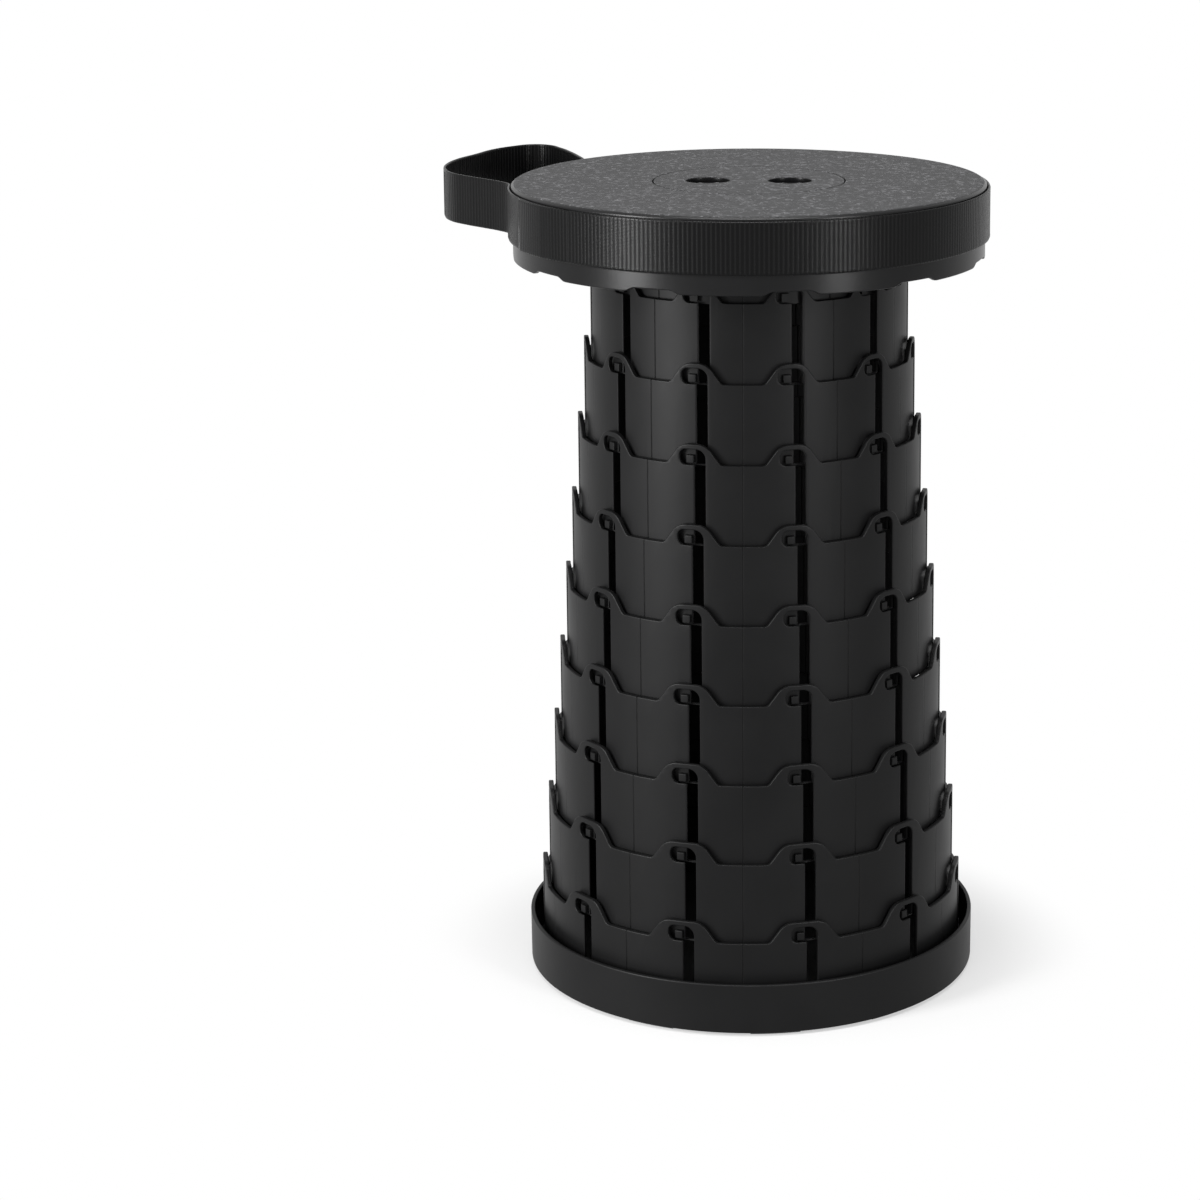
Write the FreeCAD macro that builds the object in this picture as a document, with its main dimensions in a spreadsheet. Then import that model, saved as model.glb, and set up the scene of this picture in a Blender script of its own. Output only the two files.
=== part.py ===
import FreeCAD, Part
import math
import os
import re
import Sketcher

# Telescoping stool, drawn out: a seat on ten ring stages over a base tray.
# The origin is the middle of the base on the floor, +Z is up, and the front is -Y.
# Lengths are millimetres and angles are degrees.

SIZES = [
    # Ring stages
    ("slot_count", 11, "slots, arches and panels round each ring"),
    ("ring_radius", 82.7, "outer radius of ring_1, the smallest loose ring"),
    ("ring_step", 3.63, "how much wider each next ring is"),
    ("ring_wall", 2.4, "ring wall"),
    ("panel_height", 41.7, "ring foot to the low edge of its panels"),
    ("ring_lap", 1.2, "how far a raised ring's foot stays below the next ring's low edge"),
    ("hoop_height", 0.8, "closed hoop at a ring's foot, under its slots"),
    ("arch_height", 10.3, "arch over a slot, above the low edge"),
    ("arch_share", 0.177, "half the width of an arch, as a share of its ring's radius"),
    ("dome_radius", 9, "round shoulders of an arch"),
    ("arch_foot_radius", 3, "hollow round where an arch meets the low edge"),
    ("flank_angle", 53, "slope of an arch's flanks"),
    ("slot_width", 5.7, "upright slot"),
    ("slot_offset", 3.75, "slot centre, right of the arch centre"),
    ("window_reach", 7.2, "left end of the lock window, from the arch centre"),
    ("window_height", 8, "lock window"),
    ("window_drop", 0.3, "window floor below the low edge"),
    ("window_round", 3.4, "window corners"),
    ("slot_round", 5, "round top of the slot"),
    # Pegs that hold one ring in the next
    ("peg_width", 4, "peg"),
    ("peg_height", 4.2, "peg"),
    ("peg_offset", 2, "peg centre, left of the arch centre"),
    ("peg_float", 0.5, "peg above the window floor"),
    ("peg_side_gap", 0.5, "beside the peg in its guide"),
    ("peg_reach", 1, "peg into the next ring's wall"),
    ("peg_tip_gap", 0.45, "peg tip to the back of its guide"),
    ("peg_root", 0.6, "peg sunk into its own wall"),
    # Base
    ("base_radius", 118.6, "outer radius of the base rim"),
    ("base_draft", 0.1, "how much narrower the base is at its bottom"),
    ("base_height", 25.9, "base tray"),
    ("base_wall", 2.2, "base rim"),
    ("base_floor", 3.5, "base floor"),
    ("base_edge", 1, "bevel round the bottom of the base"),
    ("foot_height", 1.5, "foot pads below the base"),
    ("foot_groove", 0.5, "groove under the base that the foot pads stick in, deep"),
    ("foot_groove_gap", 1, "groove past the foot pads' edges"),
    ("foot_width", 11, "foot pads, across"),
    ("foot_arc", 12.7, "foot pads, along, in degrees"),
    ("foot_inset", 2, "foot pads inside the bottom edge"),
    ("foot_turn", 8.2, "first foot pad, right of the front, in degrees"),
    # Seat
    ("seat_radius", 123, "seat side wall, under the strap"),
    ("seat_plate", 3, "seat plate"),
    ("edge_drop", 2, "bevel round the seat face, down"),
    ("edge_inset", 3, "bevel round the seat face, in"),
    ("skirt_depth", 38.5, "seat face to the skirt's lower edge"),
    ("skirt_wall", 2.4, "seat side wall and skirt lip"),
    ("lip_radius", 122.3, "outer radius of the skirt lip"),
    ("lip_step", 2.8, "shelf between side wall and lip"),
    ("notch_depth", 2, "notches in the skirt's lower edge"),
    ("notch_width", 18, "notches, at their top"),
    ("notch_slope", 6, "run of each notch's slanted side"),
    ("notch_turn", 4.5, "notches, left of the slots, in degrees"),
    ("rib_height", 6, "ribs and collar under the seat plate"),
    ("rib_width", 2, "ribs under the seat plate"),
    ("collar_width", 3, "collar that the seat ring stands under"),
    # Centre cap
    ("cap_radius", 49.5, "centre cap"),
    ("cap_gap", 0.5, "groove round the centre cap"),
    ("cap_plate", 3, "centre cap"),
    ("cap_bevel", 0.5, "edge of the centre cap"),
    ("ledge_width", 3.6, "ledge under the centre cap"),
    ("ledge_plate", 2.5, "ledge under the centre cap"),
    ("spigot_wall", 2, "cap spigot"),
    ("spigot_gap", 0.4, "cap spigot in the ledge"),
    ("snap_bead", 0.9, "bead that snaps under the ledge"),
    ("snap_gap", 0.3, "bead below the ledge"),
    ("finger_radius", 11.4, "finger holes"),
    ("finger_spacing", 42.6, "finger holes, centre to centre"),
    ("sleeve_wall", 2, "sleeves under the finger holes"),
    ("sleeve_depth", 10, "sleeves under the finger holes"),
    # Seat ring and its screws
    ("seat_ring_height", 42, "seat ring, foot to flange"),
    ("flange_width", 13, "seat ring's inner flange"),
    ("flange_plate", 3, "seat ring's inner flange"),
    ("seat_screw_count", 6, "screws through the flange"),
    ("seat_screw_inset", 8, "screws inside the seat ring's inner wall"),
    ("seat_screw_radius", 1.5, "seat screw shank"),
    ("seat_screw_head", 3, "seat screw head radius"),
    ("seat_screw_cap", 2, "seat screw head height"),
    ("seat_screw_bite", 5.5, "seat screw in its boss"),
    ("seat_boss_wall", 2.5, "screw bosses under the seat"),
    ("screw_gap", 0.1, "round every screw shank"),
    # Base screws
    ("base_screw_radius", 1, "base screw shank"),
    ("base_screw_head", 2, "base screw head radius"),
    ("base_screw_cap", 1.4, "base screw head height"),
    ("base_screw_bite", 8, "base screw in its boss"),
    ("base_screw_out", 1.2, "base screws outside the lowest ring's wall"),
    ("base_boss_wall", 1, "screw bosses on the lowest ring"),
    ("base_boss_height", 10, "screw bosses on the lowest ring"),
    ("head_gap", 0.2, "round every sunk screw head"),
    # Strap
    ("strap_width", 25, "webbing"),
    ("strap_thickness", 1.6, "webbing"),
    ("strap_gap", 0.3, "webbing from what it lies on"),
    ("strap_drop", 2.2, "band's upper edge below the seat face"),
    ("loop_near_angle", 182, "where the loop leaves the rim, from +X"),
    ("loop_far_angle", 133, "where the loop lies on the band again, from +X"),
    ("loop_peel", 3, "turn along the rim before the loop leaves it"),
    ("loop_shoulder_angle", 165, "first bend of the loop"),
    ("loop_shoulder_out", 47, "first bend of the loop, out from the rim"),
    ("loop_side_angle", 154, "second bend of the loop"),
    ("loop_side_out", 62, "second bend of the loop, out from the rim"),
    ("loop_tip_angle", 125.8, "far bend of the loop"),
    ("loop_tip_out", 82, "far bend of the loop, out from the rim"),
    ("loop_peel_radius", 18, "bend where the loop leaves the rim"),
    ("loop_bend_radius", 38, "first and second bend"),
    ("loop_tip_radius", 9, "far bend"),
    ("loop_foot_radius", 5, "bend where the loop meets the band again"),
    ("loop_foot_lead", 10, "straight run from that bend's corner to the band"),
    ("loop_foot_arc", 10.5, "far foot along the band, in degrees"),
    ("band_end", 3, "band past the loop's far foot, in degrees"),
    ("fold_thickness", 5, "folded end on the far foot"),
    ("fold_start", 0.5, "folded end after the foot's start, in degrees"),
    ("fold_arc", 9, "folded end, in degrees"),
    ("fold_trim", 0.5, "folded end inside the webbing's edges"),
    ("tail_thickness", 1.6, "sewn overlap of the band"),
    ("tail_start", 21, "sewn overlap after the loop, in degrees"),
    ("tail_arc", 20, "sewn overlap, in degrees"),
]

NAMES = {name for name, _, _ in SIZES}
RINGS = ["ring_%d" % stage for stage in range(1, 10)]

# Formulas that several pieces share
RING_PITCH = "(panel_height - ring_lap)"
PEG_FOOT = "(ring_lap + peg_float - window_drop)"
FLOOR_TOP = "(foot_height + base_floor)"
SEAT_RING_RADIUS = "(ring_radius - ring_step)"
SEAT_RING_FOOT = "(%s + %d * %s)" % (FLOOR_TOP, len(RINGS), RING_PITCH)
SEAT_TOP = "(%s + seat_ring_height + rib_height + seat_plate)" % SEAT_RING_FOOT
LOWEST_RADIUS = "(ring_radius + %d * ring_step)" % (len(RINGS) - 1)
BASE_SCREW_RADIUS = "(%s + base_screw_out)" % LOWEST_RADIUS
FOOT_OUTER = "(base_radius - base_draft - base_edge - foot_inset)"
SEAT_SCREW_RADIUS = "(%s - ring_wall - seat_screw_inset)" % SEAT_RING_RADIUS
STRAP_FOOT = "(%s - strap_drop - strap_width)" % SEAT_TOP
BAND_INNER = "(seat_radius + strap_gap)"
BAND_OUTER = "(%s + strap_thickness)" % BAND_INNER
HALF_TURN = "(180 / slot_count)"

doc = FreeCAD.newDocument("stool")
sizes = doc.addObject("Spreadsheet::Sheet", "Sizes")
for row, (name, value, note) in enumerate(SIZES, start=1):
    sizes.set("A%d" % row, note)
    sizes.set("B%d" % row, str(value))
    sizes.setAlias("B%d" % row, name)
doc.recompute()


def formula(text):
    """Point each of the sheet's names in a formula at its cell."""
    return re.sub(r"[a-z]\w*", lambda word: "Sizes." + word[0] if word[0] in NAMES else word[0], text)


def number(text):
    """Value of a formula."""
    value = sizes.evalExpression(formula(text))
    return float(getattr(value, "Value", value))


def bind(thing, target, text):
    """Tie a property to a formula."""
    thing.setExpression(target, formula(text))


def new_body(label, lift="0", turn="0"):
    """Start a piece that stands at a height and is turned about the upright axis."""
    body = doc.addObject("PartDesign::Body", label)
    body.Label = label
    body.Placement = FreeCAD.Placement(
        FreeCAD.Vector(0, 0, number(lift)), FreeCAD.Rotation(FreeCAD.Vector(0, 0, 1), number(turn))
    )
    bind(body, "Placement.Base.z", lift)
    if turn != "0":
        bind(body, "Placement.Rotation.Angle", turn)
    return body


def datum(body, role):
    """The body's own plane or axis of that role."""
    return next(item for item in body.Origin.OriginFeatures if item.Role == role)


def new_sketch(body, name, plane="XZ_Plane", lift="0", turn="0"):
    """Start a sketch, turned about the upright axis and lifted along its normal."""
    sketch = body.newObject("Sketcher::SketchObject", name)
    sketch.AttachmentSupport = [(datum(body, plane), "")]
    sketch.MapMode = "FlatFace"
    across = "(%s) * sin(%s)" % (lift, turn)
    along = "(%s) * cos(%s)" % (lift, turn)
    sketch.AttachmentOffset = FreeCAD.Placement(
        FreeCAD.Vector(number(across), 0, number(along)),
        FreeCAD.Rotation(FreeCAD.Vector(0, 1, 0), number(turn)),
    )
    bind(sketch, "AttachmentOffset.Base.z", along)
    if turn != "0":
        bind(sketch, "AttachmentOffset.Base.x", across)
        bind(sketch, "AttachmentOffset.Rotation.Angle", turn)
    return sketch


def pin(sketch, kind, item, end, text):
    """Hold one coordinate of a point at a formula."""
    value = number(text)
    if abs(value) < 1e-9:
        axis = -2 if kind == "DistanceX" else -1
        sketch.addConstraint(Sketcher.Constraint("PointOnObject", item, end, axis))
        return
    index = sketch.addConstraint(Sketcher.Constraint(kind, -1, 1, item, end, value))
    bind(sketch, "Constraints[%d]" % index, text)


def draw_outline(sketch, corners):
    """Draw a closed outline. A corner is (x, y); a side that bows starts at (x, y, radius, turn),
    with turn 1 where it bends left and -1 where it bends right."""
    points = [FreeCAD.Vector(number(corner[0]), number(corner[1]), 0) for corner in corners]
    starts = []
    ends = []
    for index, corner in enumerate(corners):
        first = points[index]
        last = points[(index + 1) % len(points)]
        if len(corner) == 2:
            item = sketch.addGeometry(Part.LineSegment(first, last))
            starts.append((item, 1))
            ends.append((item, 2))
            continue
        radius = number(corner[2])
        turn = corner[3]
        chord = last - first
        left = FreeCAD.Vector(-chord.y, chord.x, 0).normalize()
        centre = first + chord * 0.5 + left * (turn * math.sqrt(radius**2 - (chord.Length / 2) ** 2))
        angles = [math.atan2(point.y - centre.y, point.x - centre.x) for point in (first, last)]
        circle = Part.Circle(centre, FreeCAD.Vector(0, 0, 1), radius)
        item = sketch.addGeometry(Part.ArcOfCircle(circle, *angles[::turn]))
        starts.append((item, 1 if turn == 1 else 2))
        ends.append((item, 2 if turn == 1 else 1))
    for index, corner in enumerate(corners):
        sketch.addConstraint(Sketcher.Constraint("Coincident", *ends[index - 1], *starts[index]))
        pin(sketch, "DistanceX", *starts[index], corner[0])
        pin(sketch, "DistanceY", *starts[index], corner[1])
        if len(corner) > 2:
            held = Sketcher.Constraint("Radius", starts[index][0], number(corner[2]))
            bind(sketch, "Constraints[%d]" % sketch.addConstraint(held), corner[2])


def draw_circle(sketch, x, y, radius):
    """Draw a circle at a formula's place and size."""
    centre = FreeCAD.Vector(number(x), number(y), 0)
    item = sketch.addGeometry(Part.Circle(centre, FreeCAD.Vector(0, 0, 1), number(radius)))
    pin(sketch, "DistanceX", item, 3, x)
    pin(sketch, "DistanceY", item, 3, y)
    held = Sketcher.Constraint("Radius", item, number(radius))
    bind(sketch, "Constraints[%d]" % sketch.addConstraint(held), radius)


def revolve(body, name, corners, angle="360"):
    """Turn an outline of (radius, height) corners about the upright axis."""
    sketch = new_sketch(body, name + "_outline")
    draw_outline(sketch, corners)
    made = body.newObject("PartDesign::Revolution", name)
    made.Profile = sketch
    made.ReferenceAxis = (sketch, ["V_Axis"])
    made.Angle = number(angle)
    bind(made, "Angle", angle)
    body.Tip = made
    return made


def pad(body, name, sketch, length):
    """Raise a sketch along its normal."""
    made = body.newObject("PartDesign::Pad", name)
    made.Profile = sketch
    made.Length = number(length)
    bind(made, "Length", length)
    body.Tip = made
    return made


def pocket(body, name, sketch, length):
    """Cut a sketch along its normal."""
    made = body.newObject("PartDesign::Pocket", name)
    made.Profile = sketch
    made.Reversed = True
    made.Length = number(length)
    bind(made, "Length", length)
    body.Tip = made
    return made


def repeat(body, name, features, count="slot_count"):
    """Repeat features evenly round the upright axis."""
    made = body.newObject("PartDesign::PolarPattern", name)
    made.Originals = features
    made.Axis = (datum(body, "Z_Axis"), [""])
    made.Angle = 360
    made.Occurrences = round(number(count))
    bind(made, "Occurrences", count)
    body.Tip = made
    return made


def tube_corners(outer, wall, foot, top):
    """Corners of a plain ring's section."""
    inner = "(%s - %s)" % (outer, wall)
    return [(inner, foot), (outer, foot), (outer, top), (inner, top)]


def add_peg(body, radius):
    """Peg on a ring's foot that stands in the next ring's window."""
    sketch = new_sketch(body, "peg_face", lift="%s - peg_root" % radius)
    left = "-peg_offset - peg_width / 2"
    right = "-peg_offset + peg_width / 2"
    foot = PEG_FOOT
    top = "%s + peg_height" % PEG_FOOT
    draw_outline(sketch, [(left, foot), (right, foot), (right, top), (left, top)])
    return pad(body, "peg", sketch, "peg_root + ring_step - ring_wall + peg_reach")


def inside_wall(radius):
    """Distance from the axis to a plane just inside one panel of a ring."""
    return "(%s * cos(%s) - 2 * ring_wall)" % (radius, HALF_TURN)


def add_arch_cut(body, radius):
    """Cut the ring's top edge down to low panels with an arch over each slot."""
    crown = "(panel_height + arch_height)"
    foot_side = "(arch_share * %s)" % radius
    hollow_side = "(%s - arch_foot_radius * sin(flank_angle))" % foot_side
    hollow_top = "(panel_height + arch_foot_radius * (1 - cos(flank_angle)))"
    drop = "(arch_height - (dome_radius + arch_foot_radius) * (1 - cos(flank_angle)))"
    dome_side = "(%s - %s / tan(flank_angle))" % (hollow_side, drop)
    dome_foot = "(%s - dome_radius * (1 - cos(flank_angle)))" % crown
    crown_side = "(%s - dome_radius * sin(flank_angle))" % dome_side
    panel_side = "(%s * sin(%s) + ring_wall / 10)" % (radius, HALF_TURN)
    above = "(%s + ring_wall)" % crown
    sketch = new_sketch(body, "arch_outline", lift=inside_wall(radius))
    draw_outline(
        sketch,
        [
            ("-" + panel_side, "panel_height"),
            ("-" + foot_side, "panel_height", "arch_foot_radius", 1),
            ("-" + hollow_side, hollow_top),
            ("-" + dome_side, dome_foot, "dome_radius", -1),
            ("-" + crown_side, crown),
            (crown_side, crown, "dome_radius", -1),
            (dome_side, dome_foot),
            (hollow_side, hollow_top, "arch_foot_radius", 1),
            (foot_side, "panel_height"),
            (panel_side, "panel_height"),
            (panel_side, above),
            ("-" + panel_side, above),
        ],
    )
    return pocket(body, "arch_cut", sketch, "%s + ring_wall - %s" % (radius, inside_wall(radius)))


def add_slot_cut(body, radius):
    """Cut the upright slot, and the lock window to its left."""
    left = "(slot_offset - slot_width / 2)"
    right = "(slot_offset + slot_width / 2)"
    floor = "(panel_height - window_drop)"
    top = "(panel_height - window_drop + window_height)"
    sketch = new_sketch(body, "slot_outline", lift=inside_wall(radius))
    draw_outline(
        sketch,
        [
            (left, "hoop_height"),
            (right, "hoop_height"),
            (right, top + " - slot_round", "slot_round", 1),
            (right + " - slot_round", top),
            ("-window_reach + window_round", top, "window_round", 1),
            ("-window_reach", top + " - window_round"),
            ("-window_reach", floor + " + window_round", "window_round", 1),
            ("-window_reach + window_round", floor),
            (left, floor),
        ],
    )
    return pocket(body, "slot_cut", sketch, "%s + ring_wall - %s" % (radius, inside_wall(radius)))


def add_guide_cut(body, radius):
    """Rebate the slot's left side from the inside, as a guide for the pegs of the ring within."""
    left = "(-peg_offset - peg_width / 2 - peg_side_gap)"
    right = "(slot_offset - slot_width / 2 + peg_side_gap)"
    top = "(panel_height - window_drop + peg_height)"
    back = "(%s - ring_wall + peg_reach + peg_tip_gap)" % radius
    sketch = new_sketch(body, "guide_outline", lift=inside_wall(radius))
    draw_outline(sketch, [(left, "hoop_height"), (right, "hoop_height"), (right, top), (left, top)])
    return pocket(body, "guide_cut", sketch, "%s - %s" % (back, inside_wall(radius)))


def make_ring(label, stage):
    """One loose ring stage, or the lowest one, which has no pegs and is screwed to the base."""
    radius = "(ring_radius + %d * ring_step)" % (stage - 1)
    lowest = label == RINGS[-1]
    body = new_body(label, "%s + %d * %s" % (FLOOR_TOP, len(RINGS) - stage, RING_PITCH), HALF_TURN)
    crown = "panel_height + arch_height + ring_wall / 2"
    revolve(body, "wall", tube_corners(radius, "ring_wall", "0", crown))
    features = [add_arch_cut(body, radius), add_slot_cut(body, radius), add_guide_cut(body, radius)]
    if not lowest:
        features.append(add_peg(body, radius))
        repeat(body, "panels", features)
        return body
    sketch = new_sketch(body, "boss_outline", "XY_Plane")
    across = "%s * sin(%s)" % (BASE_SCREW_RADIUS, HALF_TURN)
    along = "-%s * cos(%s)" % (BASE_SCREW_RADIUS, HALF_TURN)
    draw_circle(sketch, across, along, "base_screw_radius + screw_gap")
    draw_circle(sketch, across, along, "base_screw_radius + screw_gap + base_boss_wall")
    features.append(pad(body, "boss", sketch, "base_boss_height"))
    repeat(body, "panels", features)
    return body


def make_seat_ring():
    """Innermost stage: a plain ring with pegs, and a flange that is screwed to the seat."""
    body = new_body("seat_ring", SEAT_RING_FOOT, HALF_TURN)
    inner = "(%s - ring_wall)" % SEAT_RING_RADIUS
    flange = "(%s - flange_width)" % inner
    under = "(seat_ring_height - flange_plate)"
    revolve(
        body,
        "wall",
        [
            (inner, "0"),
            (SEAT_RING_RADIUS, "0"),
            (SEAT_RING_RADIUS, "seat_ring_height"),
            (flange, "seat_ring_height"),
            (flange, under),
            (inner, under),
        ],
    )
    repeat(body, "pegs", [add_peg(body, SEAT_RING_RADIUS)])
    sketch = new_sketch(body, "screw_hole", "XY_Plane", under)
    across = "-%s * sin(%s)" % (SEAT_SCREW_RADIUS, HALF_TURN)
    along = "-%s * cos(%s)" % (SEAT_SCREW_RADIUS, HALF_TURN)
    draw_circle(sketch, across, along, "seat_screw_radius + screw_gap")
    hole = pocket(body, "screw_hole_cut", sketch, "flange_plate")
    repeat(body, "screw_holes", [hole], "seat_screw_count")
    return body


def make_seat_cover():
    """Seat plate with its side wall, skirt lip, ribs and bosses; its height 0 is the seat face."""
    body = new_body("seat_cover", SEAT_TOP)
    recess = "(cap_radius + cap_gap)"
    ledge = "(%s - ledge_width)" % recess
    thick = "(%s + ledge_plate)" % recess
    under = "-seat_plate"
    ledge_foot = "(-cap_plate - ledge_plate)"
    collar_foot = "(-seat_plate - rib_height)"
    collar_inner = "(%s - collar_width)" % SEAT_RING_RADIUS
    shelf = "(-strap_drop - strap_width - edge_drop / 2)"
    rim_inner = "(seat_radius - skirt_wall)"
    lip_inner = "(lip_radius - skirt_wall)"
    revolve(
        body,
        "shell",
        [
            (ledge, "-cap_plate"),
            (ledge, ledge_foot),
            (thick, ledge_foot),
            (thick, under),
            (collar_inner, under),
            (collar_inner, collar_foot),
            (SEAT_RING_RADIUS, collar_foot),
            (SEAT_RING_RADIUS, under),
            (rim_inner, under),
            (rim_inner, shelf + " + lip_step"),
            (lip_inner, shelf + " + lip_step"),
            (lip_inner, "-skirt_depth"),
            ("lip_radius", "-skirt_depth"),
            ("lip_radius", shelf),
            ("seat_radius", shelf),
            ("seat_radius", "-edge_drop"),
            ("seat_radius - edge_inset", "0"),
            (recess, "0"),
            (recess, "-cap_plate"),
        ],
    )
    sketch = new_sketch(body, "rib_outline", "XY_Plane", collar_foot)
    near = "-(%s - ledge_plate / 2)" % thick
    far = "-(%s + skirt_wall / 2)" % rim_inner
    half = "rib_width / 2"
    draw_outline(sketch, [("-" + half, far), (half, far), (half, near), ("-" + half, near)])
    rib = pad(body, "rib", sketch, "rib_height + seat_plate / 2")
    behind_lip = "(%s * cos(%s))" % (lip_inner, HALF_TURN)
    notch = new_sketch(body, "notch_outline", lift=behind_lip, turn="(%s - notch_turn)" % HALF_TURN)
    low = "(-skirt_depth - notch_depth)"
    high = "(-skirt_depth + notch_depth)"
    wide = "(notch_width / 2 + 2 * notch_slope)"
    narrow = "(notch_width / 2)"
    draw_outline(notch, [("-" + wide, low), (wide, low), (narrow, high), ("-" + narrow, high)])
    notch_cut = pocket(body, "notch_cut", notch, "seat_radius - %s" % behind_lip)
    repeat(body, "ribs_and_notches", [rib, notch_cut])
    boss_sketch = new_sketch(body, "boss_outline", "XY_Plane", collar_foot)
    draw_circle(boss_sketch, "0", "-" + SEAT_SCREW_RADIUS, "seat_screw_radius + seat_boss_wall")
    boss = pad(body, "boss", boss_sketch, "rib_height + seat_plate / 2")
    bore_sketch = new_sketch(body, "bore_outline", "XY_Plane", collar_foot)
    draw_circle(bore_sketch, "0", "-" + SEAT_SCREW_RADIUS, "seat_screw_radius + screw_gap")
    bore = pocket(body, "bore", bore_sketch, "rib_height")
    repeat(body, "bosses", [boss, bore], "seat_screw_count")
    return body


def make_centre_cap():
    """Disc that snaps into the seat's middle, with two sleeved finger holes."""
    body = new_body("seat_centre_cap", SEAT_TOP)
    spigot = "(cap_radius + cap_gap - ledge_width - spigot_gap)"
    bead_top = "(-cap_plate - ledge_plate - snap_gap)"
    revolve(
        body,
        "disc",
        [
            ("0", "-cap_plate"),
            (spigot + " - spigot_wall", "-cap_plate"),
            (spigot + " - spigot_wall", bead_top + " - 2 * snap_bead"),
            (spigot, bead_top + " - 2 * snap_bead"),
            (spigot + " + snap_bead", bead_top + " - snap_bead"),
            (spigot, bead_top),
            (spigot, "-cap_plate"),
            ("cap_radius", "-cap_plate"),
            ("cap_radius", "-cap_bevel"),
            ("cap_radius - cap_bevel", "0"),
            ("0", "0"),
        ],
    )
    sleeve_sketch = new_sketch(body, "sleeve_outline", "XY_Plane", "-sleeve_depth")
    hole_sketch = new_sketch(body, "hole_outline", "XY_Plane", "-sleeve_depth")
    for side in ("-", ""):
        middle = side + "finger_spacing / 2"
        draw_circle(sleeve_sketch, middle, "0", "finger_radius + sleeve_wall")
        draw_circle(hole_sketch, middle, "0", "finger_radius")
    pad(body, "sleeves", sleeve_sketch, "sleeve_depth - cap_plate / 2")
    pocket(body, "finger_holes", hole_sketch, "2 * sleeve_depth")
    return body


def make_screws(label, lift, radius, head, cap, shank, length, count):
    """A ring of screws with their heads down, as separate solids."""
    body = new_body(label, lift)
    body.AllowCompound = True
    head_sketch = new_sketch(body, "head_outline", "XY_Plane")
    draw_circle(head_sketch, "0", "-" + radius, head)
    head_pad = pad(body, "head", head_sketch, cap)
    shank_sketch = new_sketch(body, "shank_outline", "XY_Plane", "%s / 2" % cap)
    draw_circle(shank_sketch, "0", "-" + radius, shank)
    shank_pad = pad(body, "shank", shank_sketch, "%s / 2 + %s" % (cap, length))
    repeat(body, "screws", [head_pad, shank_pad], count)
    return body


def make_base_tray():
    """Shallow dish with a thin rim and a groove for the foot pads; its height 0 is the underside."""
    body = new_body("base_tray", "foot_height")
    foot_radius = "(base_radius - base_draft)"
    groove_outer = "(%s + foot_groove_gap)" % FOOT_OUTER
    groove_inner = "(%s - foot_width - foot_groove_gap)" % FOOT_OUTER
    revolve(
        body,
        "dish",
        [
            ("0", "0"),
            (groove_inner, "0"),
            (groove_inner, "foot_groove"),
            (groove_outer, "foot_groove"),
            (groove_outer, "0"),
            (foot_radius + " - base_edge", "0"),
            (foot_radius, "base_edge"),
            ("base_radius", "base_height"),
            ("base_radius - base_wall", "base_height"),
            (foot_radius + " - base_wall", "base_floor"),
            ("0", "base_floor"),
        ],
    )
    hole_sketch = new_sketch(body, "hole_outline", "XY_Plane")
    draw_circle(hole_sketch, "0", "-" + BASE_SCREW_RADIUS, "base_screw_radius + screw_gap")
    hole = pocket(body, "hole", hole_sketch, "base_floor")
    sink_sketch = new_sketch(body, "sink_outline", "XY_Plane")
    draw_circle(sink_sketch, "0", "-" + BASE_SCREW_RADIUS, "base_screw_head + head_gap")
    sink = pocket(body, "sink", sink_sketch, "foot_groove + base_screw_cap + head_gap")
    repeat(body, "screw_holes", [hole, sink])
    return body


def make_base_feet():
    """Foot pads under the base's edge, as separate solids."""
    body = new_body("base_feet", "0", "foot_turn - 90 - foot_arc / 2")
    body.AllowCompound = True
    corners = tube_corners(FOOT_OUTER, "foot_width", "0", "foot_height + foot_groove")
    first = revolve(body, "first_pad", corners, "foot_arc")
    repeat(body, "pads", [first])
    return body


def make_strap_arc(label, inner, thickness, foot, height, start, arc):
    """Webbing that lies along the seat's rim."""
    body = new_body(label, foot, start)
    revolve(body, "webbing", tube_corners("(%s + %s)" % (inner, thickness), thickness, "0", height), arc)
    return body


def rim_point(angle, radius):
    """Point at an angle from +X and a radius."""
    turn = math.radians(angle)
    return FreeCAD.Vector(radius * math.cos(turn), radius * math.sin(turn), 0)


def rounded_route(points, radii):
    """Edges of straight runs through points, with a tangent arc at each inner point."""
    edges = []
    start = points[0]
    for before, corner, after, radius in zip(points, points[1:], points[2:], radii):
        inward = (before - corner).normalize()
        outward = (after - corner).normalize()
        half = inward.getAngle(outward) / 2
        reach = radius / math.tan(half)
        middle = corner + (inward + outward).normalize() * (radius / math.sin(half) - radius)
        first = corner + inward * reach
        last = corner + outward * reach
        edges.append(Part.LineSegment(start, first).toShape())
        edges.append(Part.Arc(first, middle, last).toShape())
        start = last
    edges.append(Part.LineSegment(start, points[-1]).toShape())
    return edges


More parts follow.
